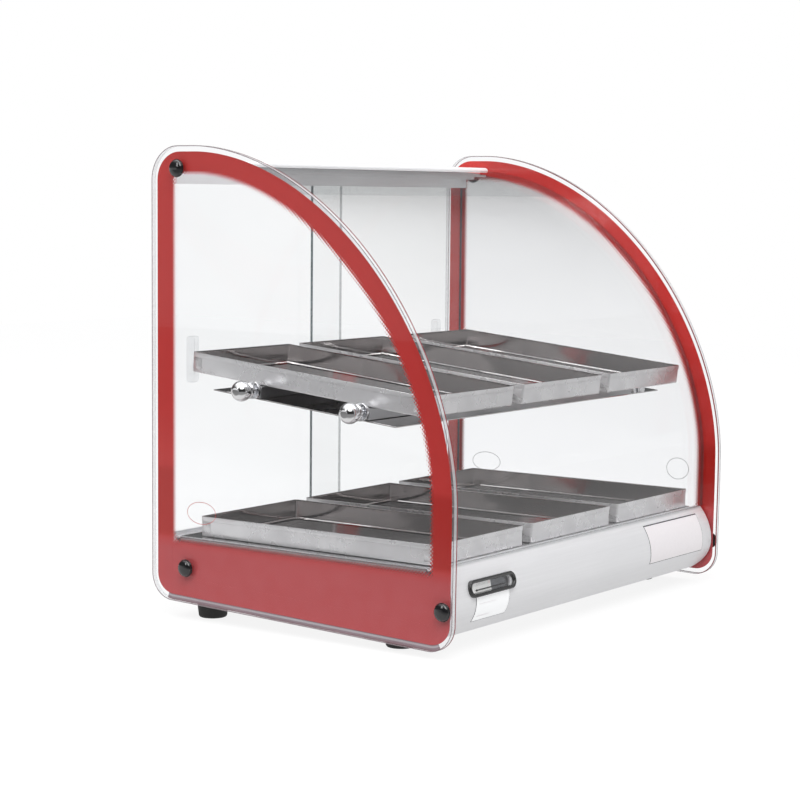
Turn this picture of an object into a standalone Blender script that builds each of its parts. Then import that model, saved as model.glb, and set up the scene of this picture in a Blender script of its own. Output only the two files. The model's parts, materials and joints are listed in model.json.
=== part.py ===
"""Two-level countertop case that keeps food warm behind glass.

Metres, +Z up. The origin is on the counter, under the middle of the side panels' footprint.
+X is to the customer's right, and the customer's side, with the curved glass, faces -Y.
Section outlines are (depth, height) pairs: depth is counted forward from the panels' rear edge.
"""

import math

import bmesh
import bpy
from mathutils import Matrix, Vector

NAME = "hot_food_display_case"
GAP = 0.0003  # between pieces that touch

# Side panels: clear toughened glass, one outline for both sides
WIDTH = 0.559
DEPTH = 0.392
HEIGHT = 0.503
PANEL = 0.006
INNER_X = WIDTH / 2 - PANEL
TOP_CORNER = 0.036
FRONT_CORNER = 0.028
REAR_CORNER = 0.028
SHOULDER = (0.058, 0.151)  # where the curve leaves the top edge (depth) and joins the front (height)
SHOULDER_POWER = 1.83
FRONT_TAPER = (0.121, 0.001)  # below this height the front edge draws back by this much
FRONT_CORNER_HEIGHT = 0.0355  # centre of the corner
REAR_CORNER_HEIGHT = 0.0470
PANEL_SLOPE = math.radians(1.97)  # of the bottom edge, down to the front

# Curved front glass: follows the panels' edge at a constant distance
FRONT_GLASS_INSET = 0.0195
FRONT_GLASS = 0.004
FRONT_GLASS_REAR = 0.0515  # depth of its top edge, inside the rail
FRONT_GLASS_FOOT = 0.0905

# Base
SHEET = 0.0015
BASE_HALF = 0.272
DECK_TOP = 0.0886
DECK_REAR = 0.0342
TUB_REAR = 0.012
TUB_FRONT = 0.354
TUB_REAR_CORNER = 0.013
TUB_BOTTOM_FRONT = (0.360, 0.016)  # a point on the sloping bottom
BOTTOM_SLOPE = math.radians(2.64)
TRACK_SEAT = 0.076

# Aluminium fascia in front of the tub
FASCIA = 0.002
FASCIA_BACK = 0.3555
FASCIA_LEDGE = (0.3635, 0.0875)  # depth where it starts to rise, height behind that
FASCIA_TOP = (0.370, 0.090)
FASCIA_CREST = (0.3856, 0.052)
FASCIA_FOOT = (0.3595, 0.0158)
FASCIA_BULGE = (0.072, 0.030)  # heights that steer the curves above and below the crest
FASCIA_PORT = 0.0045  # radius of the screw port along its back

# Sliding doors and their tracks
DOOR = 0.004
DOOR_WIDTH = 0.3055
DOOR_SIDE_GAP = 0.002
DOOR_FOOT = 0.0786
DOOR_TOP = 0.476
DOOR_DEPTHS = {"left": 0.014, "right": 0.024}  # the left door runs in the rear channel
FIN = 0.002
CHANNEL = 0.008
FIN_DEPTHS = (0.008, 0.018, 0.028)
LOWER_FIN_TOP = 0.0885
PULL_SIZE = (0.016, 0.0045, 0.050)
PULL_FROM_EDGE = 0.039
PULL_BOTTOM = 0.249

# Top rail
RAIL_FIN_FOOT = 0.463
RAIL_TOP = 0.4875
CHANNEL_ROOFS = {0.028: 0.4840, 0.018: 0.4835}  # by the depth of the fin in front of the channel
RAIL_LIP = (0.4765, 0.488)
RAIL_PORT = (0.042, 0.4735)  # front and floor of its screw port
RAIL_NOSE = (0.0625, 0.0600)  # depths of the upper and lower lip
RAIL_NOSE_CURVE = 0.006

# Food pans
PAN_SIZE = (0.1635, 0.304, 0.0214)
PAN_SHEET = 0.0008
PAN_PITCH = 0.1802
PAN_HEM = (0.005, 0.0006)  # height, and how far it stands proud of the wall
PAN_CORNER = 0.004
LOWER_PAN_REAR = 0.0535
PAN_COLUMNS = {"left": -PAN_PITCH, "middle": 0.0, "right": PAN_PITCH}

# Upper shelf: tilts down towards the customer
SHELF_TILT = math.radians(5.57)
SHELF_PAN_REAR = (0.0418, 0.2857)  # the upper pans' rear top edge
STUD_ALONG = (0.094, 0.234)  # along the shelf, from the pans' rear edge
STUD_BELOW_PAN = 0.0043
BAR_SIZE = (0.014, 0.0122)
BAR_HALF = 0.2662
SHELF_PLATE_ALONG = (0.038, 0.2755)
SHELF_PLATE = 0.0012
SHELF_PLATE_HALF = 0.2675

# Fasteners
SHANK = 0.002
PANEL_HOLE = 0.0035
CAP_RADIUS = 0.0095
CAP_HEIGHT = 0.0055
CAP_RIM = 0.0012
CAP_SCREW_REACH = 0.022
CAP_POSITIONS = {"top": (0.036, 0.479), "rear": (0.048, 0.056), "front": (0.3795, 0.049)}
BALL_RADIUS = 0.011
BALL_FLAT = 0.0045
BALL_STANDOFF = 0.010
STUD_REACH = 0.032
STUD_WAIST = (0.0070, 0.0072)  # radii where the ball meets its neck, and the neck its collar
STUD_COLLAR = (0.0090, 0.0022, 0.0004)  # radius, height, chamfer
SPACER_RADII = (0.0095, 0.0050)
SPACER_STEP = 0.0022
BORE = 0.0023

# Feet
FOOT_TOP = 0.019
FOOT_BOTTOM = 0.014
FOOT_RECESS = (0.005, 0.010)
FOOT_X = 0.2455
FOOT_DEPTHS = {"rear": 0.057, "front": 0.306}

# Thermometer in the fascia
METER_X = -0.1995
METER_HEIGHT = 0.0655
METER_TILT = math.radians(13)
METER_SIZE = (0.0835, 0.0180)
METER_WINDOW = (0.0625, 0.0105)
METER_PROUD = 0.0035
METER_CLEARANCE = 0.003  # between the window and the slot in the fascia
METER_CREST = 0.3838  # depth of the fascia's face at the thermometer
METER_BODY = (-0.006, -0.004)  # how far its sleeve and its bezel reach behind the face
METER_SLEEVE = 0.0022
METER_DIAL = (-0.0042, -0.0032)
METER_LENS = (0.0012, 0.0027)
METER_COLUMN = 0.0008
METER_COLUMN_END = (0.027, -0.0022, -0.0018)

# Rear controls
KNOB_X = 0.150
KNOB_HEIGHT = 0.0585
KNOB_RADIUS = 0.014
KNOB_TOP = 0.011  # radius above the skirt
KNOB_LENGTH = 0.0105
KNOB_BORE = 0.007
THERMOSTAT = ((-0.018, 0.046, -0.012), (0.018, 0.0, 0.016))  # about the knob's axis: x, depth, height
SPINDLE = 0.003
SWITCH_X = 0.095
SWITCH_SIZE = (0.024, 0.028)
SWITCH_FLANGE = 0.0016
SWITCH_DEPTH = 0.013
ROCKER_SIZE = (0.0134, 0.0190)
ROCKER_TILT = math.radians(8)
LAMP_X = 0.055
LAMP_RADII = (0.0050, 0.0060, 0.0042)  # dome, flange, body
LAMP_HEIGHTS = (0.0045, 0.0015, 0.0012, -0.016)  # top of the dome, its foot, flange, end of the body

# Cord: leaves through the tub's bottom and is stowed in a flat coil under it
CORD = 0.0035
CORD_OUTLET = (0.200, 0.095)  # x, depth
CORD_TURN = 0.011
CORD_HOLE = 0.0085
COIL_RADII = (0.095, 0.073, 0.036)  # outer, inner, and where it ends in the middle
COIL_TURNS = 1.75
PLUG_SIZE = (0.024, 0.034, 0.0196)
PLUG_HEIGHT = 0.0105
GRIP_COLLAR = 0.0110
GRIP_PROFILE = [(0.0110, -0.0025), (0.0070, -0.0030), (0.0060, -0.0070)]  # below the tub
GRIP_INSIDE = 0.012
PLUG_BLADE = (0.0064, 0.0008, (-0.006, 0.001), 0.021)  # off centre, half thickness, heights, length
PLUG_PIN = (0.0024, 0.0055, 0.023)  # radius, height, length
PLUG_ROOT = 0.004

# Heating
ELEMENT = 0.0035
ELEMENT_HEIGHT = 0.066
ELEMENT_LEGS = (-0.105, -0.045, 0.015, 0.075)
ELEMENT_REACH = 0.205
BRACKET_X = 0.12
BRACKET = (0.0006, 0.012, 0.046, 0.008)  # half thickness, margin in front, foot, rise above the element
PAD_DEPTHS = (0.112, 0.335)
PAD_HALF = 0.24
PAD = 0.012
TERMINALS = ((-0.165, 0.072, 0.034), (-0.125, 0.048, 0.052))  # corners: x, depth, height
TERMINAL_HOLES = (0.0085, 0.0115, 0.003, 0.006)  # first, pitch, radius, depth


# ---------------------------------------------------------------- scene and materials


def clear_scene():
    for old in list(bpy.data.objects):
        bpy.data.objects.remove(old)


def new_collection(name):
    collection = bpy.data.collections.new(name)
    bpy.context.scene.collection.children.link(collection)
    return collection


def material(name, colour, roughness, metallic=0.0, transmission=0.0):
    made = bpy.data.materials.new(name)
    made.use_nodes = True
    shader = made.node_tree.nodes["Principled BSDF"]
    shader.inputs["Base Color"].default_value = (*colour, 1.0)
    shader.inputs["Roughness"].default_value = roughness
    shader.inputs["Metallic"].default_value = metallic
    shader.inputs["Transmission Weight"].default_value = transmission
    return made


# ---------------------------------------------------------------- modelling helpers


def link(obj, finish=None):
    """Puts the object in the case's collection, or among the cutters when it has no finish."""
    if finish is None:
        CUTTERS.objects.link(obj)
        obj.hide_render = True
        obj.display_type = "WIRE"
        return obj
    PARTS.objects.link(obj)
    obj.data.materials.append(finish)
    return obj


def mesh_object(name, bm, finish, matrix=None, smooth=False):
    bmesh.ops.recalc_face_normals(bm, faces=bm.faces)
    mesh = bpy.data.meshes.new(name)
    bm.to_mesh(mesh)
    bm.free()
    if smooth:
        mesh.shade_smooth()
        mesh.set_sharp_from_angle(angle=math.radians(35))
    obj = bpy.data.objects.new(name, mesh)
    obj.matrix_world = matrix or Matrix.Identity(4)
    return link(obj, finish)


def block(name, low, high, finish=None, rounding=0.0, matrix=None):
    """A box between two corners, with its edges rounded where asked."""
    low, high = Vector(low), Vector(high)
    size = high - low
    bm = bmesh.new()
    bmesh.ops.create_cube(bm, size=1.0)
    bmesh.ops.scale(bm, vec=size, verts=bm.verts)
    middle = Matrix.Translation((low + high) / 2)
    obj = mesh_object(name, bm, finish, (matrix or Matrix.Identity(4)) @ middle)
    if rounding:
        bevel = obj.modifiers.new("rounded edges", "BEVEL")
        bevel.width = rounding
        bevel.segments = 2
    return obj


def rod(name, radius, start, end, finish=None, sides=16):
    """A plain cylinder from one point to another."""
    start, end = Vector(start), Vector(end)
    along = end - start
    bm = bmesh.new()
    bmesh.ops.create_cone(
        bm, cap_ends=True, segments=sides, radius1=radius, radius2=radius, depth=along.length
    )
    matrix = Matrix.Translation((start + end) / 2) @ along.to_track_quat("Z", "Y").to_matrix().to_4x4()
    return mesh_object(name, bm, finish, matrix, smooth=True)


def turned(name, profile, origin, axis, finish, steps=16, ring=False):
    """A (radius, height) profile, top to bottom on its outer side, turned about an axis."""
    bm = bmesh.new()
    points = [bm.verts.new((radius, 0.0, height)) for radius, height in profile]
    for first, second in zip(points, points[1:]):
        bm.edges.new((first, second))
    if ring:
        bm.edges.new((points[-1], points[0]))
    mesh = bpy.data.meshes.new(name)
    bm.to_mesh(mesh)
    bm.free()
    obj = bpy.data.objects.new(name, mesh)
    obj.matrix_world = Matrix.Translation(origin) @ Vector(axis).to_track_quat("Z", "Y").to_matrix().to_4x4()
    screw = obj.modifiers.new("turn", "SCREW")
    screw.steps = screw.render_steps = steps
    screw.use_merge_vertices = True
    screw.merge_threshold = 0.00001
    screw.use_smooth_shade = True
    return link(obj, finish)


def curve_as_mesh(name, curve, matrix, finish, smooth=False):
    """The evaluated curve as a closed mesh object, with its caps welded on."""
    source = bpy.data.objects.new(name + " curve", curve)
    bpy.context.scene.collection.objects.link(source)
    graph = bpy.context.evaluated_depsgraph_get()
    mesh = bpy.data.meshes.new_from_object(source.evaluated_get(graph))
    bm = bmesh.new()
    bm.from_mesh(mesh)
    bmesh.ops.remove_doubles(bm, verts=bm.verts, dist=0.000001)
    bpy.data.objects.remove(source)
    return mesh_object(name, bm, finish, matrix, smooth)


def section(name, outlines, low_x, high_x, finish=None, smooth=False):
    """(depth, height) outlines, the first outer and the others holes, extruded along X."""
    curve = bpy.data.curves.new(name, "CURVE")
    curve.dimensions = "2D"
    curve.fill_mode = "BOTH"
    curve.extrude = (high_x - low_x) / 2
    for outline in outlines:
        spline = curve.splines.new("POLY")
        spline.points.add(len(outline) - 1)
        for point, (depth, height) in zip(spline.points, outline):
            point.co = (y_at(depth), height, 0.0, 1.0)
        spline.use_cyclic_u = True
    middle = (low_x + high_x) / 2
    local_z_to_x = Matrix(((0, 0, 1, middle), (1, 0, 0, 0), (0, 1, 0, 0), (0, 0, 0, 1)))
    return curve_as_mesh(name, curve, local_z_to_x, finish, smooth)


def tube(name, points, radius, finish):
    """A round bar or cord along a list of points."""
    curve = bpy.data.curves.new(name, "CURVE")
    curve.dimensions = "3D"
    curve.bevel_depth = radius
    curve.bevel_resolution = 2
    curve.use_fill_caps = True
    spline = curve.splines.new("POLY")
    spline.points.add(len(points) - 1)
    for point, place in zip(spline.points, points):
        point.co = (*place, 1.0)
    return curve_as_mesh(name, curve, Matrix.Identity(4), finish, smooth=True)


def boolean(target, tool, operation):
    modifier = target.modifiers.new(tool.name, "BOOLEAN")
    modifier.operation = operation
    modifier.object = tool


def cut(target, tool):
    boolean(target, tool, "DIFFERENCE")


def join(target, tool):
    boolean(target, tool, "UNION")


# ---------------------------------------------------------------- geometry helpers


def y_at(depth):
    return DEPTH / 2 - depth


def arc(centre, radius, start, end, steps):
    """Points on a circle between two angles in degrees, both ends included."""
    angles = [math.radians(start + (end - start) * i / steps) for i in range(steps + 1)]
    return [(centre[0] + radius * math.cos(a), centre[1] + radius * math.sin(a)) for a in angles]


def circle(centre, radius, steps=16):
    return arc(centre, radius, 0, 360, steps)[:-1]


def bezier(start, control, end, steps):
    points = []
    for i in range(steps + 1):
        t = i / steps
        weights = ((1 - t) ** 2, 2 * t * (1 - t), t**2)
        points.append(tuple(sum(w * p[k] for w, p in zip(weights, (start, control, end))) for k in (0, 1)))
    return points


def beside(path, distance):
    """An open path moved sideways, to the right of its direction, by a distance."""
    moved = []
    for i, (depth, height) in enumerate(path):
        before, after = path[max(i - 1, 0)], path[min(i + 1, len(path) - 1)]
        along = Vector((after[0] - before[0], after[1] - before[1])).normalized()
        moved.append((depth + along.y * distance, height - along.x * distance))
    return moved


def ribbon(path, thickness):
    """The closed outline of a sheet that follows an open path, thickened to its right."""
    return path + beside(path, thickness)[::-1]


def panel_outline():
    """The side panel's edge, from the rear corner over the top and down the front."""
    bottom_angle = -90 - math.degrees(PANEL_SLOPE)
    front_corner = (DEPTH - FRONT_TAPER[1] - FRONT_CORNER, FRONT_CORNER_HEIGHT)
    return (
        arc((TOP_CORNER, HEIGHT - TOP_CORNER), TOP_CORNER, 180, 90, 6)
        + shoulder_curve()
        + [(DEPTH, FRONT_TAPER[0])]
        + arc(front_corner, FRONT_CORNER, 0, bottom_angle, 8)
        + arc((REAR_CORNER, REAR_CORNER_HEIGHT), REAR_CORNER, bottom_angle, -180, 8)
    )


def shoulder_curve(steps=24):
    """The superellipse that joins the top edge to the front edge."""
    depth, height = SHOULDER
    points = []
    for i in range(steps + 1):
        angle = math.pi / 2 * i / steps
        across = math.sin(angle) ** (2 / SHOULDER_POWER)
        up = max(math.cos(angle), 0.0) ** (2 / SHOULDER_POWER)
        points.append((depth + (DEPTH - depth) * across, height + (HEIGHT - height) * up))
    return points


def tub_bottom(depth):
    """Height of the tub's sloping bottom."""
    return TUB_BOTTOM_FRONT[1] + (TUB_BOTTOM_FRONT[0] - depth) * math.tan(BOTTOM_SLOPE)


def shelf_matrix():
    """The upper pans' rear top edge: local -Y runs down the shelf to the front, +Z out of it."""
    depth, height = SHELF_PAN_REAR
    return Matrix.Translation((0.0, y_at(depth), height)) @ Matrix.Rotation(SHELF_TILT, 4, "X")


def shelf_point(x, along, above):
    return shelf_matrix() @ Vector((x, -along, above))


def stud_drop():
    """The stud axis's distance below the upper pans' top edge, across the shelf."""
    return PAN_SIZE[2] + STUD_BELOW_PAN


def section_place(point):
    """(depth, height) of a point in space."""
    return (DEPTH / 2 - point.y, point.z)


# ---------------------------------------------------------------- glass


def side_glass(side, sign):
    holes = [circle(place, PANEL_HOLE) for place in CAP_POSITIONS.values()]
    for along in STUD_ALONG:
        holes.append(circle(section_place(shelf_point(0.0, along, -stud_drop())), PANEL_HOLE))
    faces = sorted((sign * INNER_X, sign * WIDTH / 2))
    return section(f"side_glass_{side}", [panel_outline(), *holes], *faces, CLEAR_GLASS, smooth=True)


def front_glass():
    edge = shoulder_curve() + [(DEPTH, FRONT_TAPER[0]), (DEPTH, FRONT_GLASS_FOOT)]
    outer = [(FRONT_GLASS_REAR, HEIGHT - FRONT_GLASS_INSET)] + beside(edge, FRONT_GLASS_INSET)
    half = INNER_X - GAP
    return section("front_glass", [ribbon(outer, FRONT_GLASS)], -half, half, CLEAR_GLASS, smooth=True)


def door(side, sign):
    """A sliding pane, with its clear finger pull on the rear face."""
    outer_edge = sign * (INNER_X - DOOR_SIDE_GAP)
    edges = sorted((outer_edge, outer_edge - sign * DOOR_WIDTH))
    y = y_at(DOOR_DEPTHS[side])
    low = (edges[0], y - DOOR / 2, DOOR_FOOT)
    high = (edges[1], y + DOOR / 2, DOOR_TOP)
    block(f"door_{side}", low, high, DOOR_GLASS, rounding=0.0005)
    width, thickness, height = PULL_SIZE
    near = outer_edge - sign * PULL_FROM_EDGE
    across = sorted((near, near - sign * width))
    back = y + DOOR / 2 + GAP
    low = (across[0], back, PULL_BOTTOM)
    high = (across[1], back + thickness, PULL_BOTTOM + height)
    block(f"door_pull_{side}", low, high, CLEAR_ACRYLIC, rounding=0.0015)


# ---------------------------------------------------------------- rail and track


def top_rail():
    """Extrusion with two door channels, a screw port and a slot that holds the front glass."""
    foot, (lip, crown) = RAIL_FIN_FOOT, RAIL_LIP
    rear, middle, front = FIN_DEPTHS
    slot_top = HEIGHT - FRONT_GLASS_INSET + GAP
    slot_floor = HEIGHT - FRONT_GLASS_INSET - FRONT_GLASS - GAP
    slot_end = FRONT_GLASS_REAR - 2 * GAP
    (port_front, port_floor), nose = RAIL_PORT, RAIL_NOSE
    outline = [(rear, foot), (rear, RAIL_TOP), (slot_end, crown)]
    outline += bezier((nose[0] - RAIL_NOSE_CURVE, crown), (nose[0], crown), (nose[0], slot_top), 4)
    outline += [(slot_end, slot_top), (slot_end, slot_floor), (nose[1], slot_floor), (nose[1], lip)]
    outline += [(port_front, lip), (port_front, port_floor), (front + FIN, port_floor)]
    for depth, roof in CHANNEL_ROOFS.items():
        outline += [(depth + FIN, foot), (depth, foot), (depth, roof), (depth - CHANNEL, roof)]
    outline += [(rear + FIN, foot)]
    half = INNER_X - GAP
    rail = section("top_rail", [outline], -half, half, SATIN_ALUMINIUM)
    for side, sign in SIDES.items():
        cut(rail, screw_bore(f"top_rail_bore_{side}", "top", sign))


def lower_track():
    """The lower door guide: three fins on a floor, and a ledge that meets the deck."""
    floor = (TRACK_SEAT + GAP, TRACK_SEAT + GAP + FIN)
    rear, middle, front = FIN_DEPTHS
    top, ledge = LOWER_FIN_TOP, DECK_REAR - GAP
    outline = [(rear, floor[0]), (rear, top), (rear + FIN, top), (rear + FIN, floor[1])]
    outline += [(middle, floor[1]), (middle, top), (middle + FIN, top), (middle + FIN, floor[1])]
    outline += [(front, floor[1]), (front, top), (ledge, top), (ledge, top - FIN)]
    outline += [(front + FIN, top - FIN), (front + FIN, floor[0])]
    half = INNER_X - GAP
    section("lower_track", [outline], -half, half, SATIN_ALUMINIUM)


def screw_bore(name, place, sign):
    """A cutter for one panel screw's shank, from the panel inwards."""
    depth, height = CAP_POSITIONS[place]
    start = (sign * WIDTH / 2, y_at(depth), height)
    end = (sign * (WIDTH / 2 - CAP_SCREW_REACH - 0.004), y_at(depth), height)
    return rod(name, BORE, start, end)


# ---------------------------------------------------------------- base


def tub_section(inset, top, seat=None):
    """The tub's lengthwise outline; with a seat height, a step at the rear carries the track."""
    rear, front = TUB_REAR + inset, TUB_FRONT - inset
    lift = inset / math.cos(BOTTOM_SLOPE)
    radius = TUB_REAR_CORNER - inset
    centre = (rear + radius, tub_bottom(rear + radius) + lift + radius)
    corner = arc(centre, radius, 180, 270 - math.degrees(BOTTOM_SLOPE), 5)
    outline = [(rear, seat or top), *corner, (front, tub_bottom(front) + lift), (front, top)]
    if seat:
        outline += [(DECK_REAR, top), (DECK_REAR, seat)]
    return outline


def base_tub():
    top = DECK_TOP - SHEET - GAP
    tub = section("base_tub", [tub_section(0.0, top, TRACK_SEAT)], -BASE_HALF, BASE_HALF, BRUSHED_STEEL)
    inside = BASE_HALF - SHEET
    cut(tub, section("tub_inside", [tub_section(SHEET, HEIGHT / 2)], -inside, inside))
    for side, sign in SIDES.items():
        cut(tub, screw_bore(f"tub_bore_{side}", "rear", sign))
    wall = (y_at(TUB_REAR - SHEET), y_at(TUB_REAR + 2 * SHEET))
    cut(tub, rod("knob_hole", SPINDLE + GAP, (KNOB_X, wall[0], KNOB_HEIGHT), (KNOB_X, wall[1], KNOB_HEIGHT)))
    outlet = (CORD_OUTLET[0], y_at(CORD_OUTLET[1]))
    cut(tub, rod("cord_hole", CORD_HOLE, (*outlet, 0.0), (*outlet, KNOB_HEIGHT)))
    lamp = [(LAMP_X, y, KNOB_HEIGHT) for y in wall]
    cut(tub, rod("lamp_hole", LAMP_RADII[2] + GAP, *lamp))
    half_x, half_z = SWITCH_SIZE[0] / 2 - 0.002, SWITCH_SIZE[1] / 2 - 0.002
    low = (SWITCH_X - half_x, wall[1], KNOB_HEIGHT - half_z)
    high = (SWITCH_X + half_x, wall[0], KNOB_HEIGHT + half_z)
    cut(tub, block("switch_hole", low, high))


def deck_plate():
    low = (-BASE_HALF, y_at(TUB_FRONT + SHEET), DECK_TOP - SHEET)
    high = (BASE_HALF, y_at(DECK_REAR), DECK_TOP)
    block("deck_plate", low, high, POLISHED_STEEL, rounding=0.0003)


def fascia_path():
    """The fascia's outer face, from the deck over the crest and down to its lower edge."""
    ledge = [(FASCIA_BACK, FASCIA_LEDGE[1]), (FASCIA_LEDGE[0], FASCIA_TOP[1])]
    upper = bezier(FASCIA_TOP, (FASCIA_CREST[0], FASCIA_BULGE[0]), FASCIA_CREST, 10)
    lower = bezier(FASCIA_CREST, (FASCIA_CREST[0], FASCIA_BULGE[1]), FASCIA_FOOT, 10)[1:]
    return ledge + upper + lower


def fascia():
    shell = section("fascia", [ribbon(fascia_path(), FASCIA)], -BASE_HALF, BASE_HALF, SATIN_ALUMINIUM, True)
    depth, height = CAP_POSITIONS["front"]
    ends = [(x, y_at(depth), height) for x in (-BASE_HALF, BASE_HALF)]
    join(shell, rod("fascia_port", FASCIA_PORT, *ends))
    for side, sign in SIDES.items():
        cut(shell, screw_bore(f"fascia_bore_{side}", "front", sign))
    half_length, half_height = (side / 2 + METER_CLEARANCE for side in METER_WINDOW)
    cut(shell, meter_block("meter_hole", half_length, half_height, -0.02, 0.02))


def foot(side, sign, end):
    depth = FOOT_DEPTHS[end]
    origin = Vector((sign * FOOT_X, y_at(depth), 0.0))
    recess, ceiling = FOOT_RECESS
    height = tub_bottom(depth - FOOT_TOP)
    profile = [(0.0, height), (FOOT_TOP, height), (FOOT_BOTTOM + 0.001, 0.0015), (FOOT_BOTTOM, 0.0)]
    profile += [(recess, 0.0), (recess, ceiling), (0.0, ceiling)]
    made = turned(f"foot_{end}_{side}", profile, origin, (0, 0, 1), RUBBER)
    slope = Matrix.Translation((origin.x, origin.y, tub_bottom(depth) - GAP)) @ Matrix.Rotation(
        BOTTOM_SLOPE, 4, "X"
    )
    reach = 2 * FOOT_TOP
    cut(made, block(f"{made.name}_slope", (-reach, -reach, 0), (reach, reach, reach), matrix=slope))


# ---------------------------------------------------------------- pans and shelf


def rounded_box(name, low, high, finish, faces_to_remove, corner):
    """A box without some of its faces, its upright edges rounded."""
    low, high = Vector(low), Vector(high)
    bm = bmesh.new()
    bmesh.ops.create_cube(bm, size=1.0)
    bmesh.ops.scale(bm, vec=high - low, verts=bm.verts)
    bmesh.ops.translate(bm, vec=(low + high) / 2, verts=bm.verts)
    upright = [e for e in bm.edges if abs(e.verts[0].co.z - e.verts[1].co.z) > 0.0001]
    bmesh.ops.bevel(bm, geom=upright, offset=corner, segments=3, profile=0.5, affect="EDGES")
    gone = [f for f in bm.faces if any(f.normal.z * sign > 0.5 for sign in faces_to_remove)]
    bmesh.ops.delete(bm, geom=gone, context="FACES_ONLY")
    mesh = bpy.data.meshes.new(name)
    bm.to_mesh(mesh)
    bm.free()
    return link(bpy.data.objects.new(name, mesh), finish)


def thicken(obj, thickness):
    solidify = obj.modifiers.new("sheet", "SOLIDIFY")
    solidify.thickness = thickness
    solidify.offset = -1.0
    solidify.use_even_offset = True


def food_pan(name, matrix):
    """A folded tray; its top edge is doubled over outwards. Local -Y runs to the front."""
    width, length, height = PAN_SIZE
    hem, proud = PAN_HEM
    half = width / 2 - proud
    low, high = (-half, proud - length, -height), (half, -proud, 0.0)
    pan = rounded_box(name, low, high, MIRROR_STEEL, (1,), PAN_CORNER)
    pan.matrix_world = matrix
    thicken(pan, PAN_SHEET)
    low, high = (-width / 2, -length, -hem), (width / 2, 0.0, 0.0002)
    edge = rounded_box(f"{name}_hem", low, high, None, (1, -1), PAN_CORNER)
    edge.matrix_world = matrix
    thicken(edge, PAN_SHEET + proud)
    join(pan, edge)


def pans():
    rim = DECK_TOP + GAP + PAN_SIZE[2]
    for column, x in PAN_COLUMNS.items():
        food_pan(f"upper_pan_{column}", Matrix.Translation((x, 0, 0)) @ shelf_matrix())
        food_pan(f"lower_pan_{column}", Matrix.Translation((x, y_at(LOWER_PAN_REAR), rim)))


def shelf():
    """Two bars between the side panels carry the pans, with a polished plate under them."""
    width, height = BAR_SIZE
    under_pans = -PAN_SIZE[2] - GAP
    for end, along in zip(("rear", "front"), STUD_ALONG):
        low = (-BAR_HALF, -along - width / 2, under_pans - height)
        high = (BAR_HALF, -along + width / 2, under_pans)
        bar = block(f"shelf_bar_{end}", low, high, BRUSHED_STEEL, 0.0006, shelf_matrix())
        for side, sign in SIDES.items():
            tip = sign * (WIDTH / 2 - STUD_REACH - 0.003)
            ends = [shelf_point(x, along, -stud_drop()) for x in (sign * INNER_X, tip)]
            cut(bar, rod(f"{bar.name}_bore_{side}", BORE, *ends))
    top = under_pans - height - GAP
    low = (-SHELF_PLATE_HALF, -SHELF_PLATE_ALONG[1], top - SHELF_PLATE)
    high = (SHELF_PLATE_HALF, -SHELF_PLATE_ALONG[0], top)
    block("shelf_plate", low, high, MIRROR_STEEL, 0.0003, shelf_matrix())


# ---------------------------------------------------------------- fasteners


def cap_screw(side, sign, place):
    """A screw under a domed black cap, seen from outside the panel."""
    depth, height = CAP_POSITIONS[place]
    rise = CAP_HEIGHT - CAP_RIM
    dome = [(CAP_RADIUS * math.sin(a), CAP_RIM + rise * math.cos(a)) for a in quarter(4)]
    profile = dome + [(CAP_RADIUS, 0.0), (SHANK, 0.0), (SHANK, -CAP_SCREW_REACH), (0.0, -CAP_SCREW_REACH)]
    origin = (sign * (WIDTH / 2 + GAP), y_at(depth), height)
    turned(f"cap_screw_{place}_{side}", profile, origin, (sign, 0, 0), BLACK_PLASTIC)


def quarter(steps):
    return [math.pi / 2 * i / steps for i in range(steps + 1)]


def shelf_stud(side, sign, end, along):
    """A chrome ball with a collar and a threaded shank that runs into the shelf bar."""
    axis_point = shelf_point(0.0, along, -stud_drop())
    flat = math.asin(BALL_FLAT / BALL_RADIUS)
    collar, collar_height, chamfer = STUD_COLLAR
    waist = math.pi - math.asin(STUD_WAIST[0] / BALL_RADIUS)
    angles = [flat + (waist - flat) * i / 8 for i in range(9)]
    ball = [(BALL_RADIUS * math.sin(a), BALL_STANDOFF + BALL_RADIUS * math.cos(a)) for a in angles]
    profile = [(0.0, ball[0][1]), *ball, (STUD_WAIST[1], collar_height), (collar, collar_height - chamfer)]
    profile += [(collar, 0.0), (SHANK, 0.0), (SHANK, -STUD_REACH), (0.0, -STUD_REACH)]
    origin = (sign * (WIDTH / 2 + GAP), axis_point.y, axis_point.z)
    turned(f"shelf_stud_{end}_{side}", profile, origin, (sign, 0, 0), CHROME, steps=18)
    length = INNER_X - GAP - (BAR_HALF + GAP)
    radius, neck = SPACER_RADII
    crown = []
    for angle in quarter(3):
        out, drop = (radius - neck) * math.cos(angle), (length - SPACER_STEP) * math.sin(angle)
        crown.append((neck + out, -SPACER_STEP - drop))
    spacer = [(BORE, 0.0), (radius, 0.0), *crown, (BORE, -length)]
    origin = (sign * (INNER_X - GAP), axis_point.y, axis_point.z)
    turned(f"shelf_spacer_{end}_{side}", spacer, origin, (sign, 0, 0), CHROME, ring=True)


# ---------------------------------------------------------------- thermometer


def meter_matrix():
    """Local +Z points out of the fascia at the thermometer, +X along it."""
    facing = Matrix.Rotation(math.pi / 2 - METER_TILT, 4, "X")
    return Matrix.Translation((METER_X, y_at(METER_CREST), METER_HEIGHT)) @ facing


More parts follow.
